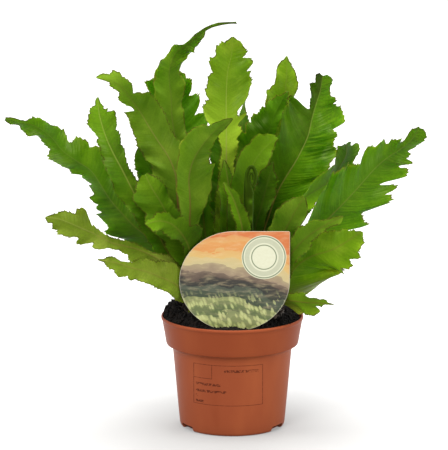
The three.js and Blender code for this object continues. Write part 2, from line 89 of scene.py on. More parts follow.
def make_camera():
    data = bpy.data.cameras.new("camera")
    data.lens = LENS
    data.sensor_width = SENSOR
    data.clip_end = 50
    camera = add_object("camera", data)
    elevation = math.radians(CAMERA_ELEVATION)
    back = Vector((0, -math.cos(elevation), math.sin(elevation)))
    aim(camera, CAMERA_TARGET + CAMERA_DISTANCE * back, CAMERA_TARGET)
    bpy.context.scene.camera = camera


def make_light(name, place, size, power):
    data = bpy.data.lights.new(name, "AREA")
    data.shape = "DISK"
    data.size = size * MM
    data.energy = power
    aim(add_object(name, data), place, LIGHT_AIM)


def make_studio():
    scene = bpy.context.scene
    scene.view_settings.view_transform = "Standard"
    world = bpy.data.worlds.new("studio")
    world.use_nodes = True
    sky = world.node_tree.nodes["Background"]
    sky.inputs["Color"].default_value = (1, 1, 1, 1)
    sky.inputs["Strength"].default_value = SKY_STRENGTH
    scene.world = world
    for name, (place, size, power) in LIGHTS.items():
        make_light(name, place, size, power)


def make_floor():
    sheet = Sheet("floor")
    middle = [c * MM for c in FLOOR_SHADOW_MIDDLE]
    # The floor glows less near the pot: a painted soft shadow under the plant.
    away = sheet.node("ShaderNodeVectorMath", {0: sheet.place(), 1: middle}, "Value", operation="DISTANCE")
    glow = sheet.fit(away, *FLOOR_GLOW_AT, *FLOOR_GLOW)
    sheet.shader(FLOOR_COLOUR, 0.9, {"Emission Strength": glow, "Emission Color": (1, 1, 1)})
    half = FLOOR_SIZE / 2
    corners = [(-half, -half, 0), (half, -half, 0), (half, half, 0), (-half, half, 0)]
    mesh = make_mesh("floor", corners, [(0, 1, 2, 3)], [sheet.material], smooth=False)
    add_object("floor", mesh)


# ---------- shader helpers ----------


def linear(rgb, light=1):
    """A colour as the picture shows it, 0 to 255, as light values, for a surface that is lit so strongly."""
    shares = [channel / 255 for channel in rgb]
    return [(s / 12.92 if s <= 0.04045 else ((s + 0.055) / 1.055) ** 2.4) / light for s in shares]


class Value:
    """One result of a node. Sums with it add the nodes that work them out."""

    def __init__(self, sheet, socket):
        self.sheet = sheet
        self.socket = socket

    def __add__(self, other):
        return self.sheet.math("ADD", self, other)

    def __sub__(self, other):
        return self.sheet.math("SUBTRACT", self, other)

    def __mul__(self, other):
        return self.sheet.math("MULTIPLY", self, other)

    def __truediv__(self, other):
        return self.sheet.math("DIVIDE", self, other)

    def __abs__(self):
        return self.sheet.math("ABSOLUTE", self)


class Sheet:
    """One material's node tree. Most methods add a node and give back its result; scales are per metre."""

    def __init__(self, name):
        self.material = bpy.data.materials.new(name)
        self.material.use_nodes = True
        self.tree = self.material.node_tree

    def put(self, socket, value):
        if isinstance(value, Value):
            self.tree.links.new(value.socket, socket)
        elif socket.type == "RGBA":
            socket.default_value = (*value[:3], 1)
        else:
            socket.default_value = value

    def node(self, kind, inputs=(), output=0, **settings):
        made = self.tree.nodes.new(kind)
        for key, value in settings.items():
            setattr(made, key, value)
        for key, value in dict(inputs).items():
            self.put(made.inputs[key], value)
        return Value(self, made.outputs[output])

    def place(self):
        return self.node("ShaderNodeTexCoord", output="Object")

    def attribute(self, name, output="Vector"):
        return self.node("ShaderNodeAttribute", output=output, attribute_name=name)

    def split(self, vector):
        return [self.node("ShaderNodeSeparateXYZ", {0: vector}, axis) for axis in "XYZ"]

    def join(self, x, y, z):
        return self.node("ShaderNodeCombineXYZ", {0: x, 1: y, 2: z})

    def scaled(self, vector, factors):
        return self.node("ShaderNodeVectorMath", {0: vector, 1: factors}, operation="MULTIPLY")

    def noise(self, vector, scale, detail=3, roughness=0.5):
        inputs = {"Vector": vector, "Scale": scale, "Detail": detail, "Roughness": roughness}
        return self.node("ShaderNodeTexNoise", inputs, "Fac")

    def math(self, operation, first, second=0.0, third=0.0):
        return self.node("ShaderNodeMath", {0: first, 1: second, 2: third}, operation=operation)

    def fit(self, value, low, high, to_low=0.0, to_high=1.0):
        """Brings a value from one range to another, smoothly and held at both ends."""
        inputs = {"Value": value, "From Min": low, "From Max": high, "To Min": to_low, "To Max": to_high}
        return self.node("ShaderNodeMapRange", inputs, interpolation_type="SMOOTHSTEP")

    def fit_line(self, value, low, high):
        """Brings a value from one range to 0 to 1 in a straight line, not held at the ends."""
        inputs = {"Value": value, "From Min": low, "From Max": high, "To Min": 0.0, "To Max": 1.0}
        return self.node("ShaderNodeMapRange", inputs, clamp=False)

    def blend(self, factor, first, second, mode="MIX"):
        inputs = {"Factor": factor, 6: first, 7: second}
        return self.node("ShaderNodeMix", inputs, 2, data_type="RGBA", blend_type=mode)

    def ramp(self, value, stops, interpolation="LINEAR"):
        result = self.node("ShaderNodeValToRGB", {"Fac": value}, "Color")
        ramp = result.socket.node.color_ramp
        ramp.interpolation = interpolation
        while len(ramp.elements) < len(stops):
            ramp.elements.new(0.5)
        for mark, (position, colour) in zip(ramp.elements, stops):
            mark.position = position
            mark.color = (*linear(colour), 1)
        return result

    def bump(self, height, distance, strength, below=None):
        """A normal for a relief of this height in mm, on top of the relief below it."""
        inputs = {"Height": height, "Distance": distance * MM, "Strength": strength}
        if below is not None:
            inputs["Normal"] = below
        return self.node("ShaderNodeBump", inputs)

    def shader(self, colour, roughness, more):
        """Sets the surface's colour and roughness, and more of the shader's inputs by their names."""
        inputs = self.tree.nodes["Principled BSDF"].inputs
        for name, value in {"Base Color": colour, "Roughness": roughness, **more}.items():
            self.put(inputs[name], value)


# ---------- mesh helpers ----------


def unit(vectors):
    return vectors / np.linalg.norm(vectors, axis=-1, keepdims=True)


def polar(radius, angle):
    return radius * math.cos(angle), radius * math.sin(angle)


def make_mesh(name, points, faces, materials=(), smooth=True, sharp_angle=None):
    mesh = bpy.data.meshes.new(name)
    mesh.from_pydata((np.asarray(points, float) * MM).tolist(), [], faces)
    mesh.polygons.foreach_set("use_smooth", [smooth] * len(mesh.polygons))
    if sharp_angle is not None:
        mesh.set_sharp_from_angle(angle=math.radians(sharp_angle))
    mesh.validate()
    for material in materials:
        mesh.materials.append(material)
    return mesh


def attach(mesh, name, values):
    """Stores a vector or a number for each of the mesh's points."""
    kind, field = ("FLOAT_VECTOR", "vector") if values.ndim == 2 else ("FLOAT", "value")
    mesh.attributes.new(name, kind, "POINT").data.foreach_set(field, values.ravel())


def add_piece(name, mesh, node):
    """Adds a mesh as the finished piece that takes a node's place."""
    obj = add_object(name, mesh)
    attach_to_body(obj, BODY)
    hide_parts(node)


def tube_faces(rings, sides):
    """Faces of a closed tube: rings of points, one after another, and a flat cap at either end."""
    faces = []
    for ring in range(rings - 1):
        for side in range(sides):
            a = ring * sides + side
            b = ring * sides + (side + 1) % sides
            faces.append((a, b, b + sides, a + sides))
    last = (rings - 1) * sides
    faces.append(tuple(reversed(range(sides))))
    faces.append(tuple(range(last, last + sides)))
    return faces


def lathe(name, profile, segments):
    """Turns [radius, height] pairs, which close on themselves, about Z."""
    points = []
    for step in range(segments):
        points += [(*polar(radius, 2 * math.pi * step / segments), z) for radius, z in profile]
    count = len(profile)
    faces = []
    for step in range(segments):
        here, there = step * count, (step + 1) % segments * count
        for i in range(count):
            j = (i + 1) % count
            faces.append((here + i, there + i, there + j, here + j))
    return make_mesh(name, points, faces)


def mound(radii, height, foot, spokes):
    """A heap: rings at these radii on the surface height(x, y), the foot's (radius, z) rings, a flat base."""
    points = [(0, 0, height(0, 0))]
    for radius, z in [(radius, None) for radius in radii] + list(foot):
        for spoke in range(spokes):
            x, y = polar(radius, 2 * math.pi * spoke / spokes)
            points.append((x, y, height(x, y) if z is None else z))
    last = len(points) - spokes
    faces = [tuple(reversed(range(last, len(points))))]
    for spoke in range(spokes):
        after = (spoke + 1) % spokes
        faces.append((0, 1 + spoke, 1 + after))
        for here in range(1, last, spokes):
            there = here + spokes
            faces.append((here + spoke, there + spoke, there + after, here + after))
    return points, faces


def add_part(points, faces, part):
    """Adds a small part, which is its own points and faces, to the lists of a larger mesh."""
    start = len(points)
    points.extend(part[0].tolist())
    faces.extend(tuple(start + i for i in face) for face in part[1])


# ---------- leaf materials ----------


@dataclass
class Leaf:
    """One face's colours, as the picture shows them."""

    plain: tuple
    light: tuple
    deep: tuple
    rib: tuple
    rib_foot: tuple
    roughness: float = 0.5


# 'bright' is a yellower green with painted light shining through it; 'deep' is a darker copy, painted shade
# for fronds deep inside the plant.
LEAVES = {
    "fresh": Leaf((74, 120, 8), (108, 150, 20), (42, 86, 2), (150, 162, 76), (132, 112, 54)),
    "bright": Leaf((102, 146, 10), (146, 176, 42), (72, 120, 2), (166, 176, 82), (140, 104, 54)),
    "sage": Leaf((82, 116, 18), (112, 142, 34), (56, 92, 8), (126, 120, 60), (112, 66, 42), 0.54),
    "deep": Leaf((52, 93, 5), (80, 122, 15), (22, 56, 0), (100, 134, 42), (76, 82, 30), 0.46),
    "olive": Leaf((114, 136, 32), (144, 160, 56), (86, 110, 16), (160, 170, 86), (130, 106, 56), 0.54),
}

LEAF_LIGHT = 2.6              # how much brighter the studio light shows a leaf than its own colour
LEAF_SHINE = (0.7, 0.9, 0.1)
LEAF_SPECULAR = 0.17
LEAF_INSIDE = (0.6, 1.0, 0.25)   # red, green and blue light that goes through it
MARGIN_BROWN = (66, 60, 18)
# colour of the pale painted sheen on the blades
PAINTED_LEAF_SHEEN = (152, 176, 100)
VEIN_PITCH = 1.9
VEIN_ACROSS = 45              # scale of the side veins' noise from the midrib outwards
STREAK_SCALE = (900, 55)      # scale of the streaks' noise along the blade and outwards
RIB_HALF = 0.7
PALE_RIM = (1.6, 0.4)         # how far from the margin its pale rim begins and is full
BROWN_RIM = (1.3, 0.6)


def leaf_material(name, leaf):
    """The blade attribute is how far along, how far across (both in metres) and the share of the width."""
    sheet = Sheet(name)
    along, across, share = sheet.split(sheet.attribute("blade"))
    tone, rib_show, youth_and_painted_light = sheet.split(sheet.attribute("look"))
    veins = sheet.attribute("veins", "Fac")
    place = sheet.place()
    distance = abs(across)
    shades = (leaf.plain, leaf.light, leaf.deep, leaf.rib, leaf.rib_foot, PAINTED_LEAF_SHEEN, MARGIN_BROWN)
    plain, light, deep, rib_plain, rib_foot, painted_sheen, brown = (linear(rgb, LEAF_LIGHT) for rgb in shades)

    cloud = sheet.noise(place, 26, 4)
    mottle = sheet.noise(place, 85, 4, 0.6)
    speck = sheet.noise(place, 900, 2)
    streak = sheet.noise(sheet.join(along * STREAK_SCALE[0], distance * STREAK_SCALE[1], tone), 1, 3)
    band = sheet.noise(sheet.join(along * (1 / (VEIN_PITCH * MM)), across * VEIN_ACROSS, tone), 1, 2, 0.4)

    colour = plain
    for spots, begin, full, most, shade in (
            (cloud, 0.52, 0.72, 1, light), (cloud, 0.5, 0.3, 1, deep),
            (mottle, 0.52, 0.72, 0.35, light), (mottle, 0.48, 0.3, 0.4, deep),
            (streak, 0.5, 0.75, 0.22, light), (streak, 0.48, 0.25, 0.16, deep)):
        colour = sheet.blend(sheet.fit(spots, begin, full, 0, most), colour, shade)
    # Young blades are paler; the same blend paints light shining through a blade.
    colour = sheet.blend(youth_and_painted_light, colour, light)

    patchy = sheet.fit(sheet.noise(place, 34, 2), 0.42, 0.62, 0.35, 1.0)
    vein_show = sheet.fit(share, 1, 0.6) * sheet.fit(share, 0.0, 0.08) * patchy * veins
    colour = sheet.blend(sheet.fit(band, 0.5, 0.66) * vein_show, colour, light)
    colour = sheet.blend(sheet.fit(band, 0.46, 0.32) * vein_show, colour, deep)
    # Pale painted sheen, in patches on the outer part of the blade along its streaks.
    patch = sheet.fit(sheet.noise(place, 44, 2), 0.5, 0.66) * sheet.fit(share, 0.1, 0.5)
    patch *= sheet.fit(along, 0.11, 0.14)
    colour = sheet.blend(patch * veins * sheet.fit(streak, 0.42, 0.58, 0.1, 1.2), colour, painted_sheen)

    to_margin = distance / share - distance
    outer_half = sheet.fit(share, 0.4, 0.6)
    pale_rim = sheet.fit(to_margin, PALE_RIM[0] * MM, PALE_RIM[1] * MM, 0, 0.35) * outer_half
    colour = sheet.blend(pale_rim, colour, light)
    brown_rim = sheet.fit(to_margin, BROWN_RIM[0] * MM, BROWN_RIM[1] * MM, 0, 0.9) * outer_half
    colour = sheet.blend(brown_rim * sheet.fit(sheet.noise(place, 120, 3), 0.36, 0.52), colour, brown)
    # Painted light and shade brighten or darken the whole colour here, with fine specks.
    tint = sheet.fit(speck, 0.3, 0.7, 0.93, 1.07) * (tone + 1.0)
    colour = sheet.blend(1.0, colour, sheet.join(tint, tint, tint), "MULTIPLY")

    rib_colour = sheet.blend(sheet.fit(along, 0.16, 0.08), rib_plain, rib_foot)
    rib_width = sheet.fit(along, 0.0, 0.28, RIB_HALF * MM, 0.45 * RIB_HALF * MM)
    rib = sheet.fit(distance / rib_width, 1.8, 0.6, 0, 0.8) * sheet.fit(along, 0.3, 0.14, 0.35, 1.0)
    rib = sheet.math("MAXIMUM", rib, sheet.fit(along, 0.035, 0.012, 0, 0.9))
    colour = sheet.blend(rib * rib_show, colour, rib_colour)

    relief = band * (veins * 3.0 + 0.2) + streak * 0.5
    normal = sheet.bump(speck, 0.12, 0.5, sheet.bump(relief, 0.3, 0.4))
    roughness = sheet.fit(cloud, 0.3, 0.7, leaf.roughness - 0.05, leaf.roughness + 0.08) + youth_and_painted_light * 0.3
    sheet.shader(colour, roughness, {
        "Normal": normal, "Specular IOR Level": LEAF_SPECULAR, "Specular Tint": LEAF_SHINE,
        "Subsurface Weight": 0.12, "Subsurface Scale": 0.002, "Subsurface Radius": LEAF_INSIDE})
    return sheet.material


# ---------- fronds ----------

STATION = 0.6                 # steps along a blade
BLADE_HALF = 0.17             # half of the blade's thickness
RIB_COLUMNS = (0.55, 1.3)     # how far from the middle the columns beside the midrib run
RIB_COLUMN_STEP = 0.16        # or, on a narrow blade, at steps of this share of the reach
BLADE_COLUMNS = (0.25, 0.5, 0.72, 0.88, 1.0)
STALK_HALF = 1.15
RIB_TIP_HALF = 0.2
RIB_TAPER = 2.2               # how fast the midrib gets thinner: 1 for evenly
LEAF_SHARP = 75               # edges of a leaf that turn by more degrees than this are sharp
STALK_SHARE = 0.13
LEAST_REACH = 0.3
LEAN = 0.5                    # veins and margins go so far to the tip for each step outwards
LEAN_LENGTH = math.hypot(1, LEAN)
SWEEP_REACH = 20              # and curve on to the tip: at this distance by this much times the frond's sweep
MARK_STEPS = 4000
LOBE_CURVE = 2.0              # how round the lobes are between their marks: 1 gives straight sides
TIP_CURVE = 1.25
CORNER_LENGTH = 3.0           # over which the points and gaps of the lobes are rounded off
WIDER = 0.5                   # soft thin margins that the marks leave out
LOBE_SPREAD = (0.55, 1.5)     # shortest and longest lobe, as shares of the mean
LOBE_PEAKS = (0.55, 0.85)     # how far along a lobe its point lies
LOBE_DEPTHS = (0.35, 1.5)
LOBE_MOST = 7                 # depth of the deepest free gap between lobes
LOBE_INWARD = 0.55            # the share of a lobe, and below of a tooth, that lies inside the plain margin
MARKED_LOBES = 0.3            # how much of the free lobes is left where the margin is marked
TOOTH_PITCH = 2.8
TOOTH_SPREAD = (0.5, 1.6)
TOOTH_PEAK = 0.75
TOOTH_HEIGHTS = (0.2, 1.3)
TOOTH_INWARD = 0.3
GROW_IN = 0.08                # lobes and teeth grow over this share of the length after the stalk
GROW_OUT = 0.06               # and get smaller over this one before the tip
FULL_LOBES = 6                # they are smaller where the blade reaches less far than this
BULGE = 0.05                  # how far a lobe bends out of the blade, as a share of how far it stands out
BULGE_LENGTH = 30             # the margin is evened out over this length to tell lobes from gaps
BULGE_REACH = 5               # a lobe that stands out further bends no more than one that stands out so far
WAVES = ((1, 1), (0.3, 0.47), (0.04, 0.23))   # the margins' waves: share of their height and of their pitch
WAVE_WIDTH = 10               # a blade that is narrower on one side than this waves less there
FLAT_FOOT = (0.05, 0.2)       # a blade is flat over this share of its length; over the next one waves set in
SWAY_PITCH = 95               # length of the slow wave of the whole blade
SWAY = 0.6                    # its height, as a share of the margins' waves
CORRUGATION = 0.2             # height of the folds along the side veins, where these show fully
CORRUGATION_PITCH = 3.2


@dataclass
class Shape:
    """How one frond differs from a plain blade, and which leaf colours its two faces have.

    A margin that isn't plain has marks, from the stalk to the tip, at its lobes' points and the gaps between
    them. Each is percent:reach, in percent of the frond's length and in mm from the midrib. Where a lobe
    hangs over the gap after it, the percent falls back there.
    """

    front: str = "fresh"
    back: str = "sage"
    lobe: float = 9.0        # mean length of a lobe along the blade
    depth: float = 0.16      # how deep the gaps between lobes go, as a share of the width
    roundness: float = 0.35  # 0.1 gives blunt ends with sharp gaps, 1 gives waves
    tooth: float = 1.4       # height of the fine teeth on the lobes
    ruffle: float = 2.2      # how far the margins wave up and down
    pitch: float = 28.0      # length of such a wave
    sweep: float = 0.15      # how much the lobes curve on to the tip
    cup: float = 0.08        # how far the margins bend to the front, as a share of the width
    tone: tuple = (-0.5, -0.05, 0.05)   # painted light and shade: how much lighter than its colours, at even steps from foot to tip
    sides: tuple = (0.0, 0.0)           # and that much more painted light and shade on its left and its right
    rib: tuple = (0.6, 0.5, 0.3)        # how clearly the midrib shows, from foot to tip
    youth_and_painted_light: tuple = (0.0, 0.0, 0.3)      # how young and pale the blade is, and how much painted light shines through it, from foot to tip
    veins: tuple = (0.2, 0.2)           # how clearly the side veins show on its left and its right
    left: str = ""
    right: str = ""


# The fronds behind, which grow alike.
BACK = Shape(depth=0.24, ruffle=3)
BACK_UPRIGHT = replace(BACK, front="deep", lobe=10, depth=0.22)
BACK_LOW = replace(BACK, back="olive", ruffle=2.6)

FROND_SHAPES = {
    "left_long": Shape(
        lobe=8, depth=0.17, ruffle=2.6, cup=-0.06, tone=(-0.5, -0.4, -0.05, 0), sides=(-0.08, 0.05),
        rib=(0.3, 0.2), veins=(0.3, 0.3),
        left="15:3 19:10 23:16 29:18 35:19 39:22 40:15 46:21 46:14 48:16 49:11 52:14 53:10 56:14 56:7 "
             "59:13 61:9 64:14 72:14 74:11 76:7 80:10 86:10 91:8 92:5 96:4 100:1",
        right="11:10 17:14 30:13 36:15 50:18 57:15 63:20 65:14 67:18 69:18 72:11 80:12 85:10 86:8 89:6 "
              "92:2 96:2 100:1"),
    "left_upright": Shape(
        tone=(-0.45, -0.55, -0.5, -0.4, 0.0), sides=(0.05, -0.1), rib=(0.4, 0.55), youth_and_painted_light=(0, 0, 0, 0.15, 1),
        left="14:6 26:10 53:10 60:13 71:11 73:8 76:10 77:7 80:9 82:6 80:1 84:7 88:10 91:8 95:5 96:2 98:2 "
             "100:0",
        right="12:3 24:10 36:10 53:8 66:5 70:6 73:10 75:8 79:11 82:9 85:13 88:14 91:10 91:8 89:4 92:7 94:4 "
              "95:4 97:2 100:0"),
    "centre_left": Shape(
        front="sage", back="fresh", lobe=10, depth=0.14, tone=(-0.3, -0.25, -0.15, -0.15, 0.7),
        sides=(0.05, -0.05), rib=(1, 1, 0.6, 0), youth_and_painted_light=(0, 0, 0, 0.1, 1), veins=(0.1, 0.1),
        left="10:6 22:8 31:8 38:12 45:19 51:19 57:17 61:16 65:14 69:13 72:11 76:10 73:3 78:3 83:8 86:4 "
             "91:5 94:2 100:0",
        right="12:3 27:11 38:12 47:10 61:14 69:17 75:15 79:9 82:4 88:8 90:6 92:8 94:4 98:3 100:0"),
    "tallest": Shape(
        front="sage", back="fresh", lobe=13, depth=0.12, roundness=0.6, tooth=0.4,
        tone=(0.1, 0.35, 0.45, -0.3), sides=(0.08, -0.12), rib=(0.3, 0.5, 0.1), veins=(0.08, 0.08),
        left="12:4 20:10 41:13 55:14 63:15 66:11 69:11 71:10 72:6 74:5 77:6 79:2 87:2 92:1 100:0.6",
        right="12:3 19:5 30:9 45:10 58:9 64:12 67:10 70:13 73:12 77:9 80:6 85:4 88:1 94:1 100:0.6"),
    "dark_behind_tallest": Shape(
        front="deep", lobe=10, depth=0.2, roundness=0.3, ruffle=3.2, tone=(0.3, 0.8),
        left="12:5 28:14 41:17 59:19 68:22 70:18 80:23 86:26 88:18 93:17 95:11 99:8 100:1",
        right="14:4 26:6 46:12 58:17 60:22 62:18 71:27 74:25 76:14 80:23 83:21 84:12 88:20 91:16 95:13 "
              "100:1"),
    "curved_front": Shape(
        front="sage", back="fresh", lobe=13, depth=0.09, tooth=0.4, cup=0.12, tone=(-0.05, -0.05, 0.1),
        sides=(0.16, -0.1), rib=(1, 0.8, 0), veins=(0.08, 0.08),
        left="12:4 30:6 44:8 52:10 60:11 69:12 74:17 79:16 83:11 87:7 93:4 100:0",
        right="12:4 30:7 40:8 46:10 51:13 56:18 60:21 64:20 66:14 70:12 77:7 83:5 92:4 100:0"),
    "bright_upright": Shape(
        front="bright", back="bright", lobe=11, depth=0.2, tone=(-0.65, -0.65, -0.5, 0.15, -0.4, -0.3),
        rib=(0, 0.6, 1, 0.4, 0.1), youth_and_painted_light=(0, 0, 0.3, 1, 0.15, 0.1),
        left="8:4 23:7 38:8 50:6 58:4 62:6 65:12 67:17 69:19 73:16 74:12 76:16 79:16 82:15 84:11 85:14 "
             "87:15 89:13 90:12 91:14 94:11 96:6 98:3 100:0",
        right="10:2 24:6 43:5 54:6 60:10 61:8 63:13 66:9 69:17 68:8 71:9 72:15 73:19 76:20 77:22 80:20 "
              "83:19 84:14 86:21 88:19 90:15 91:8 93:11 96:8 98:4 100:0"),
    "light_point": Shape(
        front="bright", lobe=11, depth=0.1, tooth=0.5, tone=(-0.1, 0.1, 0.05), rib=(0.3,),
        left="10:2 23:6 42:10 62:12 71:14 77:18 80:18 83:13 86:9 90:10 93:8 96:5 98:2 100:0",
        right="8:2 23:8 44:12 60:11 74:9 80:7 85:10 90:8 94:5 97:2 100:0"),
    "dark_serrated": Shape(
        front="deep", lobe=6, depth=0.12, roundness=0.3, ruffle=3, tone=(0.1, 0.75, 0.85), rib=(0.2,),
        left="10:3 28:6 45:11 56:16 65:23 70:26 72:18 76:20 77:16 81:17 82:13 85:13 87:10 92:7 96:3 100:0",
        right="8:3 23:6 36:7 48:7 62:6 74:6 86:6 92:5 96:3 100:1"),
    "right_centre": Shape(
        lobe=10, depth=0.22, roundness=0.25, tone=(-0.35, -0.15, 0.2, -0.4), sides=(-0.45, 0.08),
        rib=(1, 1, 0.7, 0.2), youth_and_painted_light=(0,), veins=(0.1, 0.45),
        left="10:3 28:8 38:12 46:16 52:22 56:26 61:30 65:32 70:32 77:28 82:24 84:22 84:17 84:12 83:8 82:4 "
             "85:4 88:7 91:9 94:9 95:5 98:7 100:3",
        right="6:3 10:10 19:15 30:16 38:18 45:24 52:25 57:28 58:24 60:31 61:26 64:26 68:29 69:28 70:23 "
              "72:21 74:23 75:21 76:15 76:30 80:26 85:18 88:11 88:16 91:9 94:8 97:9 100:3"),
    "young_light": Shape(
        lobe=12, depth=0.08, tooth=0.5, cup=0.25, tone=(-0.5, -0.5, -0.2), rib=(0.1,),
        youth_and_painted_light=(0, 0, 0.1, 1), veins=(0.08, 0.08),
        left="14:3 37:8 50:10 62:12 72:12 80:13 86:11 89:12 93:8 96:6 100:1",
        right="14:3 38:4 55:3 65:4 69:4 72:7 77:8 80:11 86:9 91:6 97:2 100:1"),
    "far_right": Shape(
        depth=0.24, roundness=0.25, sweep=0.35, tone=(0.15, 0.3, 0.0, -0.15), sides=(0.05, -0.05),
        rib=(0.5, 0.45, 0.15), veins=(0.15, 0.5),
        left="12:3 24:6 36:9 39:14 43:27 47:27 50:25 53:30 56:29 63:21 67:16 70:17 73:20 75:18 76:15 77:18 "
             "80:16 81:10 84:11 87:10 88:8 88:4 91:4 95:6 98:4 100:1",
        right="10:8 12:14 25:14 37:13 43:19 46:29 49:28 51:23 53:20 56:25 60:32 62:28 64:30 65:23 68:27 "
              "70:24 68:15 66:9 70:15 75:25 78:23 79:16 82:15 86:17 86:10 88:10 89:6 93:10 96:9 99:5 100:2"),
    "right_narrow": Shape(
        back="fresh", tone=(0.8, 0.8, 1.2, 1.8, 0.3, -0.25), youth_and_painted_light=(1, 1, 1, 1, 0.2, 0),
        left="14:3 33:7 47:8 59:6 65:9 70:15 76:17 82:12 86:9 93:11 97:8 100:2",
        right="12:3 34:7 46:9 55:12 69:14 76:16 83:12 86:9 90:11 93:13 95:15 96:6 99:5 100:2"),
    "lower_right": Shape(
        front="bright", ruffle=2.6, cup=0.1, tone=(0.05, 0.0, 0.1), rib=(0.35,), veins=(0.3, 0.3),
        left="12:2 25:3 35:5 46:9 56:12 63:18 77:17 83:12 90:6 96:2 100:0",
        right="4:17 6:26 7:22 10:34 12:29 17:38 24:39 26:34 34:38 42:36 44:30 52:29 58:23 66:22 68:15 "
              "73:19 75:13 81:16 84:11 90:9 95:5 100:1"),
    "olive_right": Shape(
        front="sage", back="fresh", lobe=12, depth=0.1, ruffle=1.6, tone=(0.0, 0.12, 0.2), rib=(0.3,),
        veins=(0.08, 0.08),
        left="14:3 36:3 52:4 58:8 64:10 69:8 74:9 82:5 87:3 94:2 100:0",
        right="8:6 18:11 27:8 38:6 50:7 61:8 64:5 75:4 84:3 95:4 100:0"),
    "low_right": Shape(
        front="bright", lobe=6, depth=0.24, tone=(-0.2, -0.1), youth_and_painted_light=(0.2, 0.5),
        left="12:2 30:4 45:7 62:10 75:7 80:3 86:4 92:1 100:0",
        right="8:4 22:12 34:16 38:9 50:12 54:8 60:13 64:12 68:5 78:4 86:1 100:0"),
    "low_left_upper": Shape(
        front="olive", lobe=10, depth=0.22, ruffle=1.8, tone=(-0.35, -0.25), rib=(0.3,),
        left="8:3 14:9 24:15 41:14 48:11 52:6 58:4 63:5 68:11 70:6 76:13 78:8 80:8 86:12 89:8 92:9 94:4 "
             "97:4 100:0",
        right="10:3 19:8 27:6 42:2 56:4 68:3 75:5 80:15 84:8 88:8 93:4 100:0"),
    "low_left_lower": Shape(
        front="olive", depth=0.12, ruffle=1.8, tone=(-0.15, -0.2), rib=(0.3,), youth_and_painted_light=(0.3, 0, 0),
        left="10:4 25:10 49:9 60:10 66:8 70:10 72:6 79:11 84:6 90:4 94:1 100:0",
        right="14:3 28:10 39:14 52:10 63:8 73:4 81:2 88:4 95:1 100:0"),
    "short_front": Shape(
        lobe=8, depth=0.2, tone=(-0.75, -0.7, 0.0), rib=(0.25,), youth_and_painted_light=(0, 0, 1),
        left="14:3 30:6 43:5 55:4 64:4 68:9 74:10 82:7 90:8 96:4 100:0",
        right="14:3 33:5 46:10 54:11 62:15 66:8 73:10 77:4 85:7 92:3 100:1"),
    "mid_left": Shape(
        depth=0.15, tone=(-0.4, -0.3), rib=(0.25,), youth_and_painted_light=(0, 0.2),
        left="16:4 34:9 46:13 52:11 59:16 68:18 72:15 82:19 90:12 100:2",
        right="14:3 36:4 51:6 65:9 76:8 83:10 93:7 100:2"),
    "dark_left": Shape(
        front="deep", lobe=8, depth=0.18, tone=(0.1, 0.3),
        left="10:4 24:12 36:12 45:15 47:11 56:15 58:11 66:16 69:12 78:14 84:10 92:8 100:0",
        right="12:3 30:8 48:15 66:17 81:16 94:9 100:2"),
    "right_olive_mid": Shape(
        front="sage", back="fresh", lobe=14, depth=0.08, tooth=0.6, tone=(-0.3, -0.15), rib=(0.2,),
        veins=(0.08, 0.08),
        left="14:3 42:8 54:10 60:12 64:11 73:14 80:12 89:8 95:4 100:1",
        right="14:3 32:8 47:8 60:8 66:7 74:9 83:10 91:7 100:1"),
    "dark_centre_right": Shape(front="deep", depth=0.14, tone=(-0.3, -0.2), youth_and_painted_light=(0, 0.2)),
    "centre_green": Shape(lobe=10, depth=0.14, tone=(-0.75, -0.55, -0.15)),
    "centre_small": Shape(
        lobe=7, depth=0.2, tone=(-0.55, -0.35, -0.15), sides=(0.2, -0.15), youth_and_painted_light=(0, 0.2, 0.6)),
    "back_left_tall": BACK,
    "back_centre": replace(BACK, lobe=10),
    "back_right_tall": BACK,
    "back_right": BACK,
    "back_left": BACK,
    "back_upright_left": replace(BACK_UPRIGHT, back="fresh"),
    "back_upright_right": BACK_UPRIGHT,
    "back_low_left": BACK_LOW,
    "back_low_right": BACK_LOW,
    "back_low_centre_left": replace(BACK, back="olive"),
    "back_low_centre_right": replace(BACK, front="bright", back="olive"),
}


def blade_rings(node):
    """The plain blade's rings, from its foot to its tip: middle, left margin, right margin and facing."""
    place_of, links, points = {}, {}, []
    for vertex in node.data.vertices:
        key = tuple(round(c * 1e5) for c in vertex.co)
        if key not in place_of:
            place_of[key] = len(points)
            points.append(np.array(vertex.co) / MM)
        links[vertex.index] = place_of[key]
    beside = [set() for _ in points]
    for polygon in node.data.polygons:
        corners = [links[v] for v in polygon.vertices]
        for corner in corners:
            beside[corner].update(corners)
    ring = set(sorted(range(len(points)), key=lambda i: points[i][2])[:4])
    seen = set(ring)
    rings = []
    side = np.array([1.0, 0.0, 0.0])
    forward = np.array([0.0, 0.0, 1.0])
    middle = None
    while ring:
        pairs = [(a, b) for a in ring for b in ring if a != b]
        left, right = max(pairs, key=lambda pair: (points[pair[1]] - points[pair[0]]) @ side)
        faces = [i for i in ring if i not in (left, right)]
        was, middle = middle, (points[faces[0]] + points[faces[1]]) / 2
        if was is not None:
            forward = middle - was
        side = unit(points[right] - points[left])
        rings.append((middle, points[left], points[right], unit(np.cross(side, forward))))
        ring = set().union(*(beside[i] for i in ring)) - seen
        seen |= ring
    return [np.array(column) for column in zip(*rings)]


def smooth_between(rows, at):
    """Points on a smooth curve through the rows, at fractional row numbers."""
    padded = np.vstack([2 * rows[0] - rows[1], rows, 2 * rows[-1] - rows[-2]])
    first = np.clip(at.astype(int), 0, len(rows) - 2)
    t = (at - first)[:, None]
    p0, p1, p2, p3 = (padded[first + k] for k in range(4))
    return 0.5 * (2 * p1 + (p2 - p0) * t + (2 * p0 - 5 * p1 + 4 * p2 - p3) * t**2
                  + (3 * p1 - p0 - 3 * p2 + p3) * t**3)


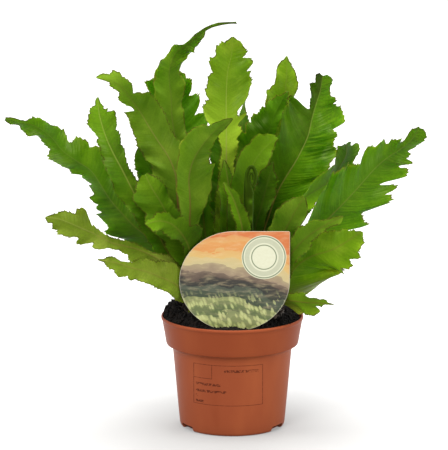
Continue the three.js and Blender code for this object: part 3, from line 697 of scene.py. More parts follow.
def uneven_steps(along, start, mean, spread, rng):
    """Cuts a blade into uneven steps: each station's step, how far it is through it, and how many edges."""
    edges = [start]
    while edges[-1] < along[-1]:
        edges.append(edges[-1] + mean * rng.uniform(*spread))
    edges = np.array(edges)
    index = np.clip(np.searchsorted(edges, along, "right") - 1, 0, len(edges) - 2)
    return index, np.clip((along - edges[index]) / (edges[index + 1] - edges[index]), 0, 1), len(edges)


def scallops(along, start, shape, rng):
    """A row of lobes that lean to the tip, 0 in the gaps and 1 at their points, and the gaps' depths."""
    index, phase, count = uneven_steps(along, start, shape.lobe, LOBE_SPREAD, rng)
    peak = rng.uniform(*LOBE_PEAKS, count)[index]
    rise = np.sin(math.pi / 2 * np.clip(phase / peak, 0, 1)) ** 0.8
    fall = np.cos(math.pi / 2 * np.clip((phase - peak) / (1 - peak), 0, 1)) ** shape.roundness
    return np.where(phase < peak, rise, fall), rng.uniform(*LOBE_DEPTHS, count)[index]


def teeth(along, rng):
    """Fine teeth of uneven heights that point to the tip: 0 between them."""
    index, phase, count = uneven_steps(along, along[0], TOOTH_PITCH, TOOTH_SPREAD, rng)
    height = rng.uniform(*TOOTH_HEIGHTS, count)[index]
    return height * np.minimum(phase / TOOTH_PEAK, (1 - phase) / (1 - TOOTH_PEAK))


def marked_reach(along, marks, sweep):
    """The margin through its marks: round lobes with sharp gaps, each lobe swept on to the blade's tip."""
    at, reach = marks.T
    steps = np.linspace(0, len(at) - 1, MARK_STEPS)
    index = np.minimum(steps.astype(int), len(at) - 2)
    phase = steps - index
    here, there = reach[index], reach[index + 1]
    fall = np.where(index == len(at) - 2, TIP_CURVE, LOBE_CURVE)
    eased = np.where(there > here, 1 - (1 - phase) ** LOBE_CURVE, phase**fall)
    fine_reach = here + (there - here) * eased
    fine_at = (at[index] + (at[index + 1] - at[index]) * phase) / 100 * along[-1]
    swept_from = np.maximum.accumulate(fine_at - sweep * (LEAN_LENGTH * fine_reach) ** 2 / SWEEP_REACH)
    swept_from += np.linspace(0, STATION / 10, MARK_STEPS)
    return np.interp(along, swept_from, fine_reach)


def evened(values, length):
    """The values smoothed over this length of the blade."""
    kernel = np.hanning(2 * int(length / 2 / STATION) + 3)
    return np.convolve(np.pad(values, len(kernel) // 2, "edge"), kernel / kernel.sum(), "valid")


def margin_reach(marks, along, plain, shape, rng):
    """How far the margin lies from the midrib at each station."""
    length = along[-1]
    start = STALK_SHARE * length
    lobe, depth = scallops(along, start, shape, rng)
    tooth = teeth(along, rng)
    lobe_depth = np.minimum(shape.depth * depth * plain, LOBE_MOST)
    reach = plain
    if marks:
        marks = np.array([mark.split(":") for mark in marks.split()], float)
        first = marks[0, 0] / 100
        blend = np.clip((along / length - 0.7 * first) / (0.3 * first), 0, 1)
        marked = evened(marked_reach(along, marks, shape.sweep) + WIDER, CORNER_LENGTH)
        reach = plain + (marked - plain) * blend
        lobe_depth = MARKED_LOBES * lobe_depth
    size = np.clip((along - start) / (GROW_IN * length), 0, 1)
    size *= np.clip((length - along) / (GROW_OUT * length), 0, 1)
    size *= np.clip(reach / FULL_LOBES, 0, 1)
    grown = (lobe - LOBE_INWARD) * lobe_depth + (tooth - TOOTH_INWARD) * shape.tooth
    return np.maximum(reach + size * grown, LEAST_REACH)


class Blade:
    """A frond's stations from foot to tip: its midrib, and its directions along and out of its face."""

    def __init__(self, node, ruffle, rng):
        self.rings, self.left, self.right, facing = blade_rings(node)
        length = np.linalg.norm(np.diff(self.rings, axis=0), axis=1).sum()
        self.at = np.linspace(0, len(self.rings) - 1, int(length / STATION) + 1)
        self.along = self.at / self.at[-1] * length
        self.share_along = self.along / length
        self.middle = smooth_between(self.rings, self.at)
        self.tangent = unit(np.gradient(self.middle, axis=0))
        self.up = unit(smooth_between(facing, self.at))
        self.sway = ruffle * SWAY * np.sin(2 * math.pi * self.along / SWAY_PITCH + rng.uniform(0, 6))
        pitches = rng.uniform(0.6, 1.4, int(2 * length / CORRUGATION_PITCH))
        starts = np.cumsum(CORRUGATION_PITCH * pitches)
        self.folds = np.sin(2 * math.pi * np.interp(self.along, starts, np.arange(len(starts))))


def half_blade(blade, edge, marks, vein, shape, rng):
    """Columns of points from the midrib to one margin, each with its distance and its share of the width."""
    along = blade.along
    spread = edge - blade.rings
    plain = np.linalg.norm(spread, axis=1)[:, None]
    outward = unit(smooth_between(spread / plain, blade.at))
    plain = np.maximum(smooth_between(plain, blade.at)[:, 0] / LEAN_LENGTH, LEAST_REACH)
    full = margin_reach(marks, along, plain, shape, rng) * LEAN_LENGTH
    starts = rng.uniform(0, 2 * math.pi, len(WAVES))
    pitch = shape.pitch * rng.uniform(0.8, 1.2)
    wave = sum(size * np.sin(2 * math.pi * along / (part * pitch) + start)
               for (size, part), start in zip(WAVES, starts))
    near = [np.minimum(step, RIB_COLUMN_STEP * i * full) for i, step in enumerate(RIB_COLUMNS, 1)]
    far = [near[-1] + (full - near[-1]) * step for step in BLADE_COLUMNS]
    even = np.maximum(evened(full, BULGE_LENGTH), 0.5)
    narrow = np.clip(even / WAVE_WIDTH, 0, 1)
    bulge = BULGE * evened(np.clip(full - even, -BULGE_REACH, BULGE_REACH), CORNER_LENGTH)
    grown = np.clip((blade.share_along - FLAT_FOOT[0]) / FLAT_FOOT[1], 0, 1)
    columns = []
    for distance in near + far:
        share = distance / full
        reach = np.minimum(distance / even, 1.3)
        height = shape.cup * even * reach**2
        height += (shape.ruffle * wave * reach**2.2 + blade.sway * reach) * narrow
        height += bulge * share**1.5
        height += CORRUGATION * vein * blade.folds * 4 * share * (1 - share)
        height *= grown
        onward = shape.sweep * distance**2 / SWEEP_REACH
        lifts = blade.tangent * onward[:, None] + blade.up * height[:, None]
        columns.append((distance, share, blade.middle + outward * distance[:, None] + lifts))
    return columns


def make_frond(name, shape, seed):
    rng = np.random.default_rng(seed)
    blade = Blade(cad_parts[name], shape.ruffle, rng)
    left = half_blade(blade, blade.left, shape.left, shape.veins[0], shape, rng)
    right = half_blade(blade, blade.right, shape.right, shape.veins[1], shape, rng)
    stations = len(blade.along)
    zero = np.zeros(stations)
    across = [(-distance, share, point) for distance, share, point in reversed(left)]
    across += [(zero, zero, blade.middle)] + right

    rib_half = RIB_TIP_HALF + (STALK_HALF - RIB_TIP_HALF) * (1 - blade.share_along) ** RIB_TAPER
    over, under = [], []
    for distance, share, point in across:
        rib = rib_half * np.exp(-((distance / (1.1 * rib_half + 0.25)) ** 2))
        thickness = BLADE_HALF * (1 - 0.5 * share)
        data = np.column_stack([blade.along * MM, distance * MM, share])
        over.append(np.hstack([point + blade.up * (thickness + 0.55 * rib)[:, None], data]))
        under.append(np.hstack([point - blade.up * (thickness + rib)[:, None], data]))
    for side in (0, -1):
        over[side][:, :3] = across[side][2]
    loop = over + under[-2:0:-1]
    sides = len(loop)
    points, places = np.split(np.stack(loop, axis=1).reshape(-1, 6), 2, axis=1)
    materials = [leaf_materials[shape.front], leaf_materials[shape.back]]
    faces = tube_faces(stations, sides)
    mesh = make_mesh(name + "_leaf", points, faces, materials, sharp_angle=LEAF_SHARP)
    rows = (shape.tone, shape.rib, shape.youth_and_painted_light)
    looks = [np.interp(blade.share_along, np.linspace(0, 1, len(row)), row) for row in rows]
    look = np.repeat(np.column_stack(looks), sides, axis=0)
    on_left = places[:, 1] < 0
    # Each half of the blade's face gets its own extra painted light and shade.
    look[:, 0] += np.where(on_left, *shape.sides) * (places[:, 2] > 0)
    attach(mesh, "blade", places)
    attach(mesh, "look", look)
    attach(mesh, "veins", np.where(on_left, *shape.veins))
    is_back = np.tile(np.arange(sides) >= len(over) - 1, stations - 1)
    mesh.polygons.foreach_set("material_index", np.append(is_back, [False, False]).astype(np.int32))
    return mesh


def make_fronds():
    for number, (name, shape) in enumerate(FROND_SHAPES.items()):
        node = "frond_" + name
        add_piece(node + "_leaf", make_frond(node, shape, SEED + number), node)


# ---------- the frond that is still rolled up ----------

COIL_FOOT = (14, -33)
COIL_CENTRE = (16, 219)
COIL_STEM_TOP = 192
COIL_FORWARD = 4              # the rolled end leans out so far before its foot
COIL_RADIUS = 4.7
COIL_END_RADIUS = 0.8
COIL_STRETCH = 2.3            # the flat spiral is this much taller than it is wide
COIL_TURNS = 1.7
COIL_STEPS = 320
COIL_SIDES = 16
STEM_HALF = 4.0               # half of the folded stem's width
COIL_HALF = 1.1               # and of the rolled end's
STEM_DEPTH = 1.7
COIL_ROLLED = (               # how far along the stem, and how narrow it is there: 0 as folded, 1 as rolled
    (0.0, 0.7), (0.12, 0.6), (0.3, 0.35), (0.6, 0.0), (0.7, 0.8), (1.0, 1.0),
)
COIL_LOBES = (184, 199)       # heights of the first small lobes, which lie over the fold
COIL_LOBE_HALF = 2.2
COIL_LOBES_END = 0.65         # there are none beyond this share of the path
CROWN_TOP = 102
# It is coloured like a leaf, up to this place on it: metres along, metres across and share of the width.
COIL_PLACE = (0.12, 0.004, 0.5)


def coil_path():
    y = COIL_FOOT[1]
    x, z = COIL_CENTRE
    points = [(*COIL_FOOT, CROWN_TOP), (*COIL_FOOT, CROWN_TOP + 7)]
    y -= COIL_FORWARD
    points.append((x - COIL_RADIUS, y, COIL_STEM_TOP))
    turns = COIL_TURNS * 2 * math.pi
    for angle in np.arange(0, turns, math.pi / 6):
        across, up = polar(COIL_RADIUS + (COIL_END_RADIUS - COIL_RADIUS) * angle / turns, angle)
        points.append((x - across, y, z + COIL_STRETCH * up))
    points = np.array(points, float)
    steps = np.linalg.norm(np.diff(points, axis=0), axis=1)
    lengths = np.concatenate([[0], np.cumsum(steps)])
    rows = np.interp(np.linspace(0, lengths[-1], COIL_STEPS), lengths, np.arange(len(points)))
    return smooth_between(points, rows)


def make_coiled_frond():
    """A stem that thins towards its rolled-up end, with the first small lobes over its fold."""
    path = coil_path()
    tangent = unit(np.gradient(path, axis=0))
    out = np.array([0.0, 1.0, 0.0])
    inward = np.cross(out, tangent)
    share = np.linspace(0, 1, COIL_STEPS)
    rolled = np.interp(share, *zip(*COIL_ROLLED))
    half = STEM_HALF + (COIL_HALF - STEM_HALF) * rolled
    lobes = sum(np.exp(-(((path[:, 2] - z) / COIL_LOBE_HALF) ** 2)) for z in COIL_LOBES)
    lobes *= share < COIL_LOBES_END
    points, looks = [], []
    for i in range(COIL_STEPS):
        for side in range(COIL_SIDES):
            edge, back = polar(1, 2 * math.pi * side / COIL_SIDES)
            front = max(-back, 0)
            lobe = lobes[i] * front * min(max(edge + 0.5, 0), 1)
            deep = STEM_DEPTH * (1 - 0.4 * rolled[i]) * back * (1 - 0.45 * front + 0.6 * lobe)
            centre = path[i] + inward[i] * (STEM_HALF - COIL_HALF) * (1 - rolled[i]) * 0.8
            points.append(centre + inward[i] * half[i] * edge + out * deep)
            inner_line = rolled[i] * front**0.5 * math.exp(-(((edge + 0.5) / 0.25) ** 2))
            pale = max(0.6 * max(edge, 0) ** 10 * (1 - rolled[i]), 0.6 * inner_line, min(lobe, 0.8))
            # Painted shade darkens the whole coil, less on its pale margin, inner line and lobes.
            looks.append((-0.7 + 0.7 * pale, 0.0, pale))
    faces = tube_faces(COIL_STEPS, COIL_SIDES)
    mesh = make_mesh("frond_coiled_leaf", points, faces, [leaf_materials["deep"]], sharp_angle=LEAF_SHARP)
    end, across, width_share = COIL_PLACE
    places = [(end * step, across, width_share) for step in share]
    attach(mesh, "blade", np.repeat(places, COIL_SIDES, axis=0))
    attach(mesh, "look", np.array(looks))
    add_piece("frond_coiled_leaf", mesh, "frond_coiled")


# ---------- pot ----------

POT_PROFILE = (               # the outside, from the middle of the base up to the rim
    (0, 0), (38, 0), (42.2, 0), (43.4, 0.5), (44.1, 1.5), (44.5, 3), (45.2, 10), (46.1, 20), (47.1, 31),
    (48.1, 42), (49.1, 53), (50, 63), (50.4, 66.8), (50.9, 68), (52.2, 69.3), (54.6, 70.6), (55.7, 71.2),
    (56.05, 72.2), (56.5, 75), (57.3, 80), (58.2, 85), (59, 89.6), (59.25, 91.2), (59.5, 91.9), (60.0, 92.4),
    (60.15, 93.1), (60.15, 93.9), (59.9, 94.6), (59.3, 95),
)
POT_INSIDE = (                # and down again inside
    (58.9, 94.8), (58.6, 94.2), (58.2, 91), (56.9, 83), (55.2, 74.4), (54.6, 72.6), (51.4, 70.6),
    (49.6, 69.2), (49, 67.4), (48.7, 63), (46.8, 42), (44.8, 20), (43.5, 4), (42, 1.9), (38, 1.6), (0, 1.6),
)
POT_SEGMENTS = 256
POT_SHARP = 40                # edges of the pot that turn by more degrees than this are sharp
POT_LIGHT = 2.25
POT_COLOURS = ((168, 85, 53), (182, 96, 58), (138, 60, 32), (86, 38, 26))   # plain, pale, dark and print
POT_SHINE = (1.0, 0.6, 0.4)
POT_SPECULAR = 0.07
COLLAR_SHADE = (69, 72)       # the collar is darker from here up
NOTCH_ANGLES = (-60, 60, 180)
NOTCH_WIDTH = 18
NOTCH_BOTTOM = -4
NOTCH_HEIGHT = 4.5
NOTCH_ROUNDING = 1.6
NOTCH_REACH = (38.5, 52)      # the cut goes from and to these distances from the pot's axis


def pot_material():
    sheet = Sheet("pot_plastic")
    place = sheet.place()
    x, y, z = sheet.split(place)
    plain, pale, dark, ink = (linear(rgb, POT_LIGHT) for rgb in POT_COLOURS)
    mottle = sheet.noise(sheet.scaled(place, (1, 1, 0.35)), 22, 4)
    colour = sheet.blend(sheet.fit(mottle, 0.45, 0.75), plain, pale)
    colour = sheet.blend(sheet.fit(mottle, 0.45, 0.2, 0, 0.7), colour, dark)
    grain = sheet.noise(place, 1400, 2)
    colour = sheet.blend(sheet.fit(grain, 0.55, 0.8, 0, 0.16), colour, pale)
    colour = sheet.blend(pot_print(sheet, x, y, z), colour, ink)
    colour = sheet.blend(sheet.fit(z, COLLAR_SHADE[0] * MM, COLLAR_SHADE[1] * MM, 0, 0.4), colour, dark)
    rings = sheet.noise(sheet.join(0.0, 0.0, z), 420, 2)
    normal = sheet.bump(rings, 0.12, 0.35, sheet.bump(grain, 0.05, 0.5))
    roughness = sheet.fit(mottle, 0.3, 0.7, 0.38, 0.5)
    sheet.shader(colour, roughness, {
        "Normal": normal, "Specular IOR Level": POT_SPECULAR, "Specular Tint": POT_SHINE})
    return sheet.material


PRINT_LINE = 0.45
PRINT_SOFT = 0.12                            # how soft the print's edges are
PRINT_FRAME = (-32.5, 25.5, 27.0, 62.5)      # left, right, bottom, top
PRINT_BOX = (-32.5, -17.0, 50.0, 62.5)
PRINT_BARS = ((-7, 22, 57.5), (-30.5, -10, 45), (-30.5, -5, 39), (-30.5, -29, 34.5), (-30.5, -24, 29.8))
PRINT_BAR_HALF = 1.1
PRINT_STRENGTH = 0.85


def pot_print(sheet, x, y, z):
    """A faint printed frame with a few plain bars on the pot's front, as a mask from 0 to 1."""
    soft = PRINT_SOFT * MM

    def inside(value, low, high):
        above = sheet.fit(value, low * MM - soft, low * MM + soft)
        return above * sheet.fit(value, high * MM + soft, high * MM - soft)

    def block(left, right, bottom, top):
        return inside(x, left, right) * inside(z, bottom, top)

    def outline(left, right, bottom, top):
        t = PRINT_LINE
        return block(left, right, bottom, top) - block(left + t, right - t, bottom + t, top - t)

    mask = sheet.math("MAXIMUM", outline(*PRINT_FRAME), outline(*PRINT_BOX))
    broken = sheet.fit(sheet.noise(sheet.join(x, 0.0, z), 620, 1), 0.44, 0.5)
    for left, right, height in PRINT_BARS:
        bar = block(left, right, height - PRINT_BAR_HALF, height + PRINT_BAR_HALF)
        mask = sheet.math("MAXIMUM", mask, bar * broken)
    in_front = sheet.math("LESS_THAN", y, 0.0)
    worn = sheet.fit(sheet.noise(sheet.place(), 700, 3), 0.35, 0.5, 0.5, 1.0)
    return mask * in_front * worn * PRINT_STRENGTH


def notch_cutter():
    """Three rounded blocks at the pot's foot, as one mesh."""
    points, faces = [], []
    half, rounding = NOTCH_WIDTH / 2, NOTCH_ROUNDING
    section = [(-half, NOTCH_BOTTOM), (half, NOTCH_BOTTOM), (half, NOTCH_HEIGHT - rounding)]
    section += [(half - rounding * (1 - math.cos(a)), NOTCH_HEIGHT - rounding * (1 - math.sin(a)))
                for a in np.linspace(0.3, math.pi / 2, 5)]
    section += [(-u, w) for u, w in reversed(section[2:])]
    for angle in NOTCH_ANGLES:
        turn = math.radians(angle)
        outward = np.array([math.sin(turn), -math.cos(turn)])
        across = np.array([math.cos(turn), math.sin(turn)])
        block = [(*(outward * depth + across * u), w) for depth in NOTCH_REACH for u, w in section]
        add_part(points, faces, (np.array(block), tube_faces(2, len(section))))
    return make_mesh("notch_cutter", points, faces, smooth=False)


def make_pot():
    profile = [(max(radius, 0.01), z) for radius, z in POT_PROFILE + POT_INSIDE]
    blank = add_object("pot_blank", lathe("pot_blank", profile, POT_SEGMENTS))
    cutter = add_object("notch_cutter", notch_cutter())
    cut = blank.modifiers.new("notches", "BOOLEAN")
    cut.operation = "DIFFERENCE"
    cut.object = cutter
    cut.solver = "EXACT"
    shown = blank.evaluated_get(bpy.context.evaluated_depsgraph_get())
    mesh = bpy.data.meshes.new_from_object(shown)
    for helper in (blank, cutter):
        bpy.data.objects.remove(helper)
    mesh.materials.clear()
    mesh.materials.append(pot_material())
    mesh.set_sharp_from_angle(angle=math.radians(POT_SHARP))
    add_piece("pot_shell", mesh, "pot")


# ---------- soil and crown ----------

SOIL_EDGE_RADIUS = 58.0
SOIL_EDGE = 91.6              # height of the soil's edge
SOIL_CREST = 98.6
SOIL_TILT = (-2.2, 3.0)       # how much higher the soil lies to the right and at the back
SOIL_BANK = 11                # how far inwards the soil rises from its edge
SOIL_HEAP = (-56, 12)         # it is heaped up here, over the pot's rim
SOIL_HEAP_HEIGHT = 4.5
SOIL_HEAP_SIZE = 19
SOIL_OVER_RIM = 5.0           # how much higher the soil's edge lies at the heap
SOIL_FOOT = ((55, 76), (48.2, 67), (43.2, 3))   # radius and height of the part inside the pot
SOIL_BUMPS = (7.5, 1.3)       # size and height of its broad bumps
SOIL_CLODS = (2.6, 1.5)
SOIL_GRAINS = (0.9, 0.45)
SOIL_RINGS = 90
SOIL_SPOKES = 300
GROUND_SHARP = 50             # sharp edges of the soil and the crown turn by more degrees than this
SOIL_COLOURS = ((0.3, (8, 7, 7)), (0.5, (15, 12, 10)), (0.64, (27, 21, 17)), (0.78, (52, 40, 30)))
CRUMBS = 1500
CRUMB_SIZE = 2.6
CRUMB_REACH = (42, 57.2)      # the crumbs lie between these distances from the middle
CRUMB_LIFT = 0.2              # a crumb's middle lies this share of its size over the soil
FIBRE_SHARE = 0.12            # so many of the crumbs are long
FIBRE_STRETCH = 3.0
CARD_DIP = 2.2                # how much lower the soil lies on the strip in front of the card
STRIP_HALF = 34
STRIP_BACK = -42
STRIP_CRUMBS = 0.6            # crumbs on the strip are smaller by this share
STRIP_SLOPES = (8, 3)         # lengths over which the dip sets in, from the strip's ends and from its back
CROWN_RADIUS = 44.5
CROWN_EDGE = 97.2
CROWN_LEVEL = 98.2
CROWN_RISE = 3.6
CROWN_RINGS = 60
CROWN_SPOKES = 180
CROWN_LUMPS = (6.5, 1.8)      # size and height of its bumps
CROWN_GRAINS = (1.8, 0.6)
CROWN_SCALES = 900
SCALE_LENGTHS = (3, 7.5)
SCALE_SPREAD = 0.97           # the scales grow over this share of the crown's radius
SCALE_SUNK = 0.6              # and begin so far below its surface
SCALE_HALF = 0.16             # half width, half thickness and bend of a scale, as shares of its length
SCALE_THICK = 0.09
SCALE_BEND = 0.12
SCALE_ROWS = ((0, 1.0), (0.4, 1.1), (0.75, 0.6), (1.0, 0.08))   # how far up, and how wide there
CROWN_COLOURS = ((0.3, (24, 17, 11)), (0.5, (44, 32, 20)), (0.65, (72, 54, 32)), (0.8, (100, 80, 48)))


def rough(x, y, layer, size, height):
    """Smooth random bumps of this size and height, other ones in each layer."""
    return height * noise.noise(Vector((x, y, layer)) / size)


def card_strip(x, y):
    """1 on the strip of soil between the card and the rim, and 0 away from it."""
    beside = min(max((STRIP_HALF - abs(x)) / STRIP_SLOPES[0], 0), 1)
    return beside * min(max((STRIP_BACK - y) / STRIP_SLOPES[1], 0), 1)


def soil_height(x, y):
    heap = math.exp(-((math.dist((x, y), SOIL_HEAP) / SOIL_HEAP_SIZE) ** 2))
    bank = min(max((SOIL_EDGE_RADIUS - math.hypot(x, y)) / SOIL_BANK, 0), 1)
    tilt = (SOIL_TILT[0] * x + SOIL_TILT[1] * y) / SOIL_EDGE_RADIUS
    crest = SOIL_CREST + SOIL_HEAP_HEIGHT * heap
    edge = SOIL_EDGE + SOIL_OVER_RIM * heap
    level = edge + (crest - edge) * bank * bank * (3 - 2 * bank) + tilt
    level -= CARD_DIP * card_strip(x, y)
    clods = abs(rough(x, y, 9, *SOIL_CLODS))
    return level + rough(x, y, 3, *SOIL_BUMPS) + clods + rough(x, y, 15, *SOIL_GRAINS)


def crown_height(x, y):
    share = min(math.hypot(x, y) / CROWN_RADIUS, 1)
    lumpy = abs(rough(x, y, 1, *CROWN_LUMPS)) + rough(x, y, 5, *CROWN_GRAINS)
    return CROWN_LEVEL + (CROWN_RISE + lumpy) * (1 - share**6)


def soil_material():
    sheet = Sheet("potting_soil")
    cloud = sheet.noise(sheet.place(), 180, 5, 0.65)
    grain = sheet.noise(sheet.place(), 900, 4, 0.7)
    colour = sheet.ramp(cloud, SOIL_COLOURS)
    # Painted shade: the hollows between the grains are darker.
    painted_hollow_shade = sheet.blend(0.55, colour, (0.002, 0.0015, 0.001))
    colour = sheet.blend(sheet.fit(grain, 0.35, 0.7), painted_hollow_shade, colour)
    sheet.shader(colour, 0.92, {"Normal": sheet.bump(grain, 0.5, 0.9), "Specular IOR Level": 0.1})
    return sheet.material


def crown_material():
    sheet = Sheet("rootstock")
    cloud = sheet.noise(sheet.place(), 110, 4, 0.6)
    grain = sheet.noise(sheet.place(), 800, 4, 0.7)
    colour = sheet.ramp(cloud, CROWN_COLOURS)
    # Painted shade: the hollows between the grains are darker.
    painted_hollow_shade = sheet.blend(0.5, colour, (0.01, 0.007, 0.004))
    colour = sheet.blend(sheet.fit(grain, 0.4, 0.65), painted_hollow_shade, colour)
    sheet.shader(colour, 0.88, {"Normal": sheet.bump(grain, 0.4, 0.8)})
    return sheet.material


def lump(rng, centre, size, stretch):
    """A small rough crumb: a cube's corners pushed about, with its faces split by a middle point."""
    corners = [(x, y, z) for x in (-1, 1) for y in (-1, 1) for z in (-1, 1)]
    corners += [(-1.5, 0, 0), (1.5, 0, 0), (0, -1.5, 0), (0, 1.5, 0), (0, 0, -1.5), (0, 0, 1.5)]
    shape = np.array(corners) * rng.uniform(0.6, 1.15, (len(corners), 1))
    shape[:, 0] *= stretch
    turn, _ = np.linalg.qr(rng.normal(size=(3, 3)))
    if np.linalg.det(turn) < 0:
        turn[:, 0] *= -1
    rims = ((0, 1, 3, 2), (4, 6, 7, 5), (0, 4, 5, 1), (2, 3, 7, 6), (0, 2, 6, 4), (1, 5, 7, 3))
    faces = [(rim[i], rim[(i + 1) % 4], tip) for tip, rim in enumerate(rims, 8) for i in range(4)]
    return shape @ turn.T * size * 0.5 + centre, faces


def make_soil():
    rng = np.random.default_rng(SEED)
    radii = [SOIL_EDGE_RADIUS * (ring / SOIL_RINGS) ** 0.6 for ring in range(1, SOIL_RINGS + 1)]
    points, faces = mound(radii, soil_height, SOIL_FOOT, SOIL_SPOKES)
    for _ in range(CRUMBS):
        size = rng.uniform(0.5, 1.0) ** 2 * CRUMB_SIZE
        angle, radius = rng.uniform(0, 2 * math.pi), rng.uniform(CRUMB_REACH[0], CRUMB_REACH[1] - size)
        x, y = polar(radius, angle)
        stretch = FIBRE_STRETCH if rng.random() < FIBRE_SHARE else 1.0
        size *= 1 - STRIP_CRUMBS * card_strip(x, y)
        centre = np.array([x, y, soil_height(x, y) + CRUMB_LIFT * size])
        add_part(points, faces, lump(rng, centre, size, stretch))
    mesh = make_mesh("soil_bed", points, faces, [soil_material()], sharp_angle=GROUND_SHARP)
    add_piece("soil_bed", mesh, "soil")


def scale_leaf(rng, foot, outward, size):
    """A narrow brown scale that stands up from the rootstock and ends in a point."""
    up = unit(np.array([0, 0, 1.0]) * rng.uniform(0.4, 1.0) + outward * rng.uniform(-0.2, 0.9))
    across = unit(np.cross(up, rng.normal(size=3)))
    thick = np.cross(up, across) * SCALE_THICK * size
    half = across * SCALE_HALF * size
    points = []
    for rise, wide in SCALE_ROWS:
        centre = foot + up * (rise * size) + outward * (SCALE_BEND * size * rise**2)
        points += [centre - half * wide, centre - thick * wide, centre + half * wide, centre + thick * wide]
    return np.array(points), tube_faces(len(SCALE_ROWS), 4)


def make_crown():
    rng = np.random.default_rng(SEED + 1)
    radii = [CROWN_RADIUS * ring / CROWN_RINGS for ring in range(1, CROWN_RINGS)]
    points, faces = mound(radii, crown_height, [(CROWN_RADIUS, CROWN_EDGE)], CROWN_SPOKES)
    for _ in range(CROWN_SCALES):
        angle, radius = rng.uniform(0, 2 * math.pi), CROWN_RADIUS * math.sqrt(rng.random()) * SCALE_SPREAD
        x, y = polar(radius, angle)
        foot = np.array([x, y, crown_height(x, y) - SCALE_SUNK])
        outward = np.array([*polar(1, angle), 0])
        add_part(points, faces, scale_leaf(rng, foot, outward, rng.uniform(*SCALE_LENGTHS)))
    mesh = make_mesh("crown_rootstock", points, faces, [crown_material()], sharp_angle=GROUND_SHARP)
    add_piece("crown_rootstock", mesh, "crown")


# ---------- picture card ----------

CARD_FOOT = 91.5              # lowest point of the round part; the spike goes on below
CARD_CORNER = 0.8
SPIKE_HALF = 5.5
SPIKE_POINT_HALF = 1.5
CARD_STEPS = 96
CARD_BEVEL = 0.12
CARD_BANDS = (                # from the foot of the card to its top
    (0.0, (160, 168, 96)), (0.08, (196, 200, 130)), (0.14, (104, 120, 66)), (0.22, (172, 178, 112)),
    (0.29, (50, 64, 42)), (0.37, (84, 92, 74)), (0.42, (38, 42, 36)), (0.5, (88, 72, 60)),
    (0.56, (150, 128, 106)), (0.62, (206, 190, 138)), (0.7, (222, 188, 116)), (0.77, (224, 152, 80)),
    (0.85, (224, 170, 100)), (0.92, (214, 120, 62)),
)
CARD_WASH = (236, 214, 166)
# Low down on the card, pale dabs and the dark between them: where they begin and are full, strength, colour.
CARD_DABS = ((0.4, 0.3, 0.7, (206, 212, 142)), (0.5, 0.62, 0.5, (64, 80, 48)))
CARD_RIM = (206, 200, 176)
RIM_AT = (0.493, 0.497)       # where the rim begins and is full, as a share of the card's size
CARD_LIGHT = 2.2
DISC_INSET = (21.4, 21.8)     # from the card's right and top edges to the middle of the pale disc
DISC_RADIUS = 18.5
DISC_COLOURS = ((222, 222, 190), (236, 236, 208))
DISC_RINGS = ((17.4, 0.5, 0.8), (14.0, 2.0, 0.3), (10.2, 0.45, 0.8))   # radius, half width, strength
RING_COLOUR = (92, 112, 74)


def card_outline(low, high):
    """Round all the way but for a square top right corner, with the spike at the foot."""
    x, z = (low[0] + high[0]) / 2, (CARD_FOOT + high[2]) / 2
    half_width, half_height = (high[0] - low[0]) / 2, (high[2] - CARD_FOOT) / 2

    def arc(begin, end, steps):
        return [(x + half_width * math.cos(a), z + half_height * math.sin(a))
                for a in np.linspace(begin, end, steps)]

    spike_at = math.asin(SPIKE_HALF / half_width)
    right, top = x + half_width, high[2]
    points = [(right, z), (right, top - CARD_CORNER), (right - CARD_CORNER, top)]
    points += arc(math.pi / 2, 3 * math.pi / 2 - spike_at, CARD_STEPS)
    points += [(x - SPIKE_POINT_HALF, low[2]), (x + SPIKE_POINT_HALF, low[2])]
    points += arc(-math.pi / 2 + spike_at, 0, CARD_STEPS // 2)[:-1]
    return np.array(points), (x, z), (half_width, half_height)


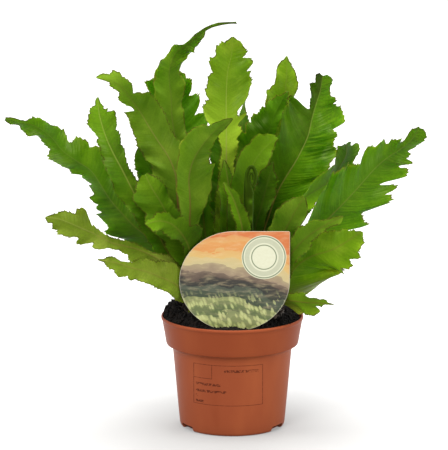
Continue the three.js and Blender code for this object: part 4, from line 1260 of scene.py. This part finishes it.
def card_material(middle, half_size):
    """Soft painted waves that sweep over the card, with loose dabs low down and a bare pale disc."""
    sheet = Sheet("card_print")
    x, _, z = sheet.split(sheet.place())
    u, v = (sheet.fit_line(value, (centre - half) * MM, (centre + half) * MM)
            for value, centre, half in zip((x, z), middle, half_size))
    flat = sheet.join(u, v, 0.0)
    swell = sheet.math("SINE", u * 7.0 + 0.8) * 0.045
    slow = (sheet.noise(sheet.scaled(flat, (2, 4, 1)), 1.4, 3) - 0.5) * 0.3
    level = v + swell + (slow + (u - 0.5) * 0.2)
    colour = sheet.blend(0.6, sheet.ramp(level, CARD_BANDS), sheet.ramp(level, CARD_BANDS, "CONSTANT"))

    wash = sheet.noise(sheet.scaled(flat, (3, 9, 1)), 3, 5, 0.6)
    colour = sheet.blend(sheet.fit(wash, 0.45, 0.75, 0.0, 0.3), colour, linear(CARD_WASH))
    turned = sheet.scaled(sheet.join(u + v * 0.5, v - u, 0.0), (30, 10, 1))
    dabs = sheet.node("ShaderNodeTexVoronoi", {"Vector": turned, "Scale": 1.0}, "Distance")
    low_down = sheet.fit(v, 0.46, 0.2)
    for begin, full, strength, rgb in CARD_DABS:
        dab = sheet.fit(dabs, begin, full) * low_down
        colour = sheet.blend(dab * strength, colour, linear(rgb))

    right, top = middle[0] + half_size[0], middle[1] + half_size[1]
    dx = x - (right - DISC_INSET[0]) * MM
    dz = z - (top - DISC_INSET[1]) * MM
    away = sheet.math("SQRT", dx * dx + dz * dz)
    disc = sheet.fit(away, (DISC_RADIUS + 0.2) * MM, (DISC_RADIUS - 0.2) * MM)
    pale = sheet.blend(sheet.noise(flat, 40, 3), *(linear(rgb) for rgb in DISC_COLOURS))
    colour = sheet.blend(disc, colour, pale)
    for radius, half, strength in DISC_RINGS:
        ring = sheet.fit(abs(away - radius * MM), (half + 0.15) * MM, (half - 0.15) * MM, 0, strength)
        colour = sheet.blend(ring, colour, linear(RING_COLOUR))

    off_u, off_v = abs(u - 0.5), abs(v - 0.5)
    in_corner = sheet.math("GREATER_THAN", u, 0.5) * sheet.math("GREATER_THAN", v, 0.5)
    round_edge = sheet.math("SQRT", off_u * off_u + off_v * off_v) * sheet.math("SUBTRACT", 1.0, in_corner)
    rim_at = round_edge + sheet.math("MAXIMUM", off_u, off_v) * in_corner
    colour = sheet.blend(sheet.fit(rim_at, *RIM_AT, 0, 0.6), colour, linear(CARD_RIM))
    dimmed = sheet.blend(1.0, colour, (1 / CARD_LIGHT,) * 3, "MULTIPLY")
    normal = sheet.bump(sheet.noise(flat, 260, 2), 0.02, 0.4)
    sheet.shader(dimmed, 0.36, {"Normal": normal, "Specular IOR Level": 0.3})
    return sheet.material


def make_card():
    low, high = (np.array(corner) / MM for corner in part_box("picture_card"))
    outline, middle, half_size = card_outline(low, high)
    shrunk = outline + unit(np.array(middle) - outline) * CARD_BEVEL
    front, back = low[1], high[1]
    layers = ((shrunk, front), (outline, front + CARD_BEVEL), (outline, back - CARD_BEVEL), (shrunk, back))
    points = [(u, y, w) for shape, y in layers for u, w in shape]
    faces = [tuple(reversed(face)) for face in tube_faces(len(layers), len(outline))]
    mesh = make_mesh("picture_card_sheet", points, faces, [card_material(middle, half_size)], smooth=False)
    add_piece("picture_card_sheet", mesh, "picture_card")


make_camera()
make_studio()
make_floor()
leaf_materials = {name: leaf_material("leaf_" + name, leaf) for name, leaf in LEAVES.items()}
make_pot()
make_soil()
make_crown()
make_card()
make_fronds()
make_coiled_frond()
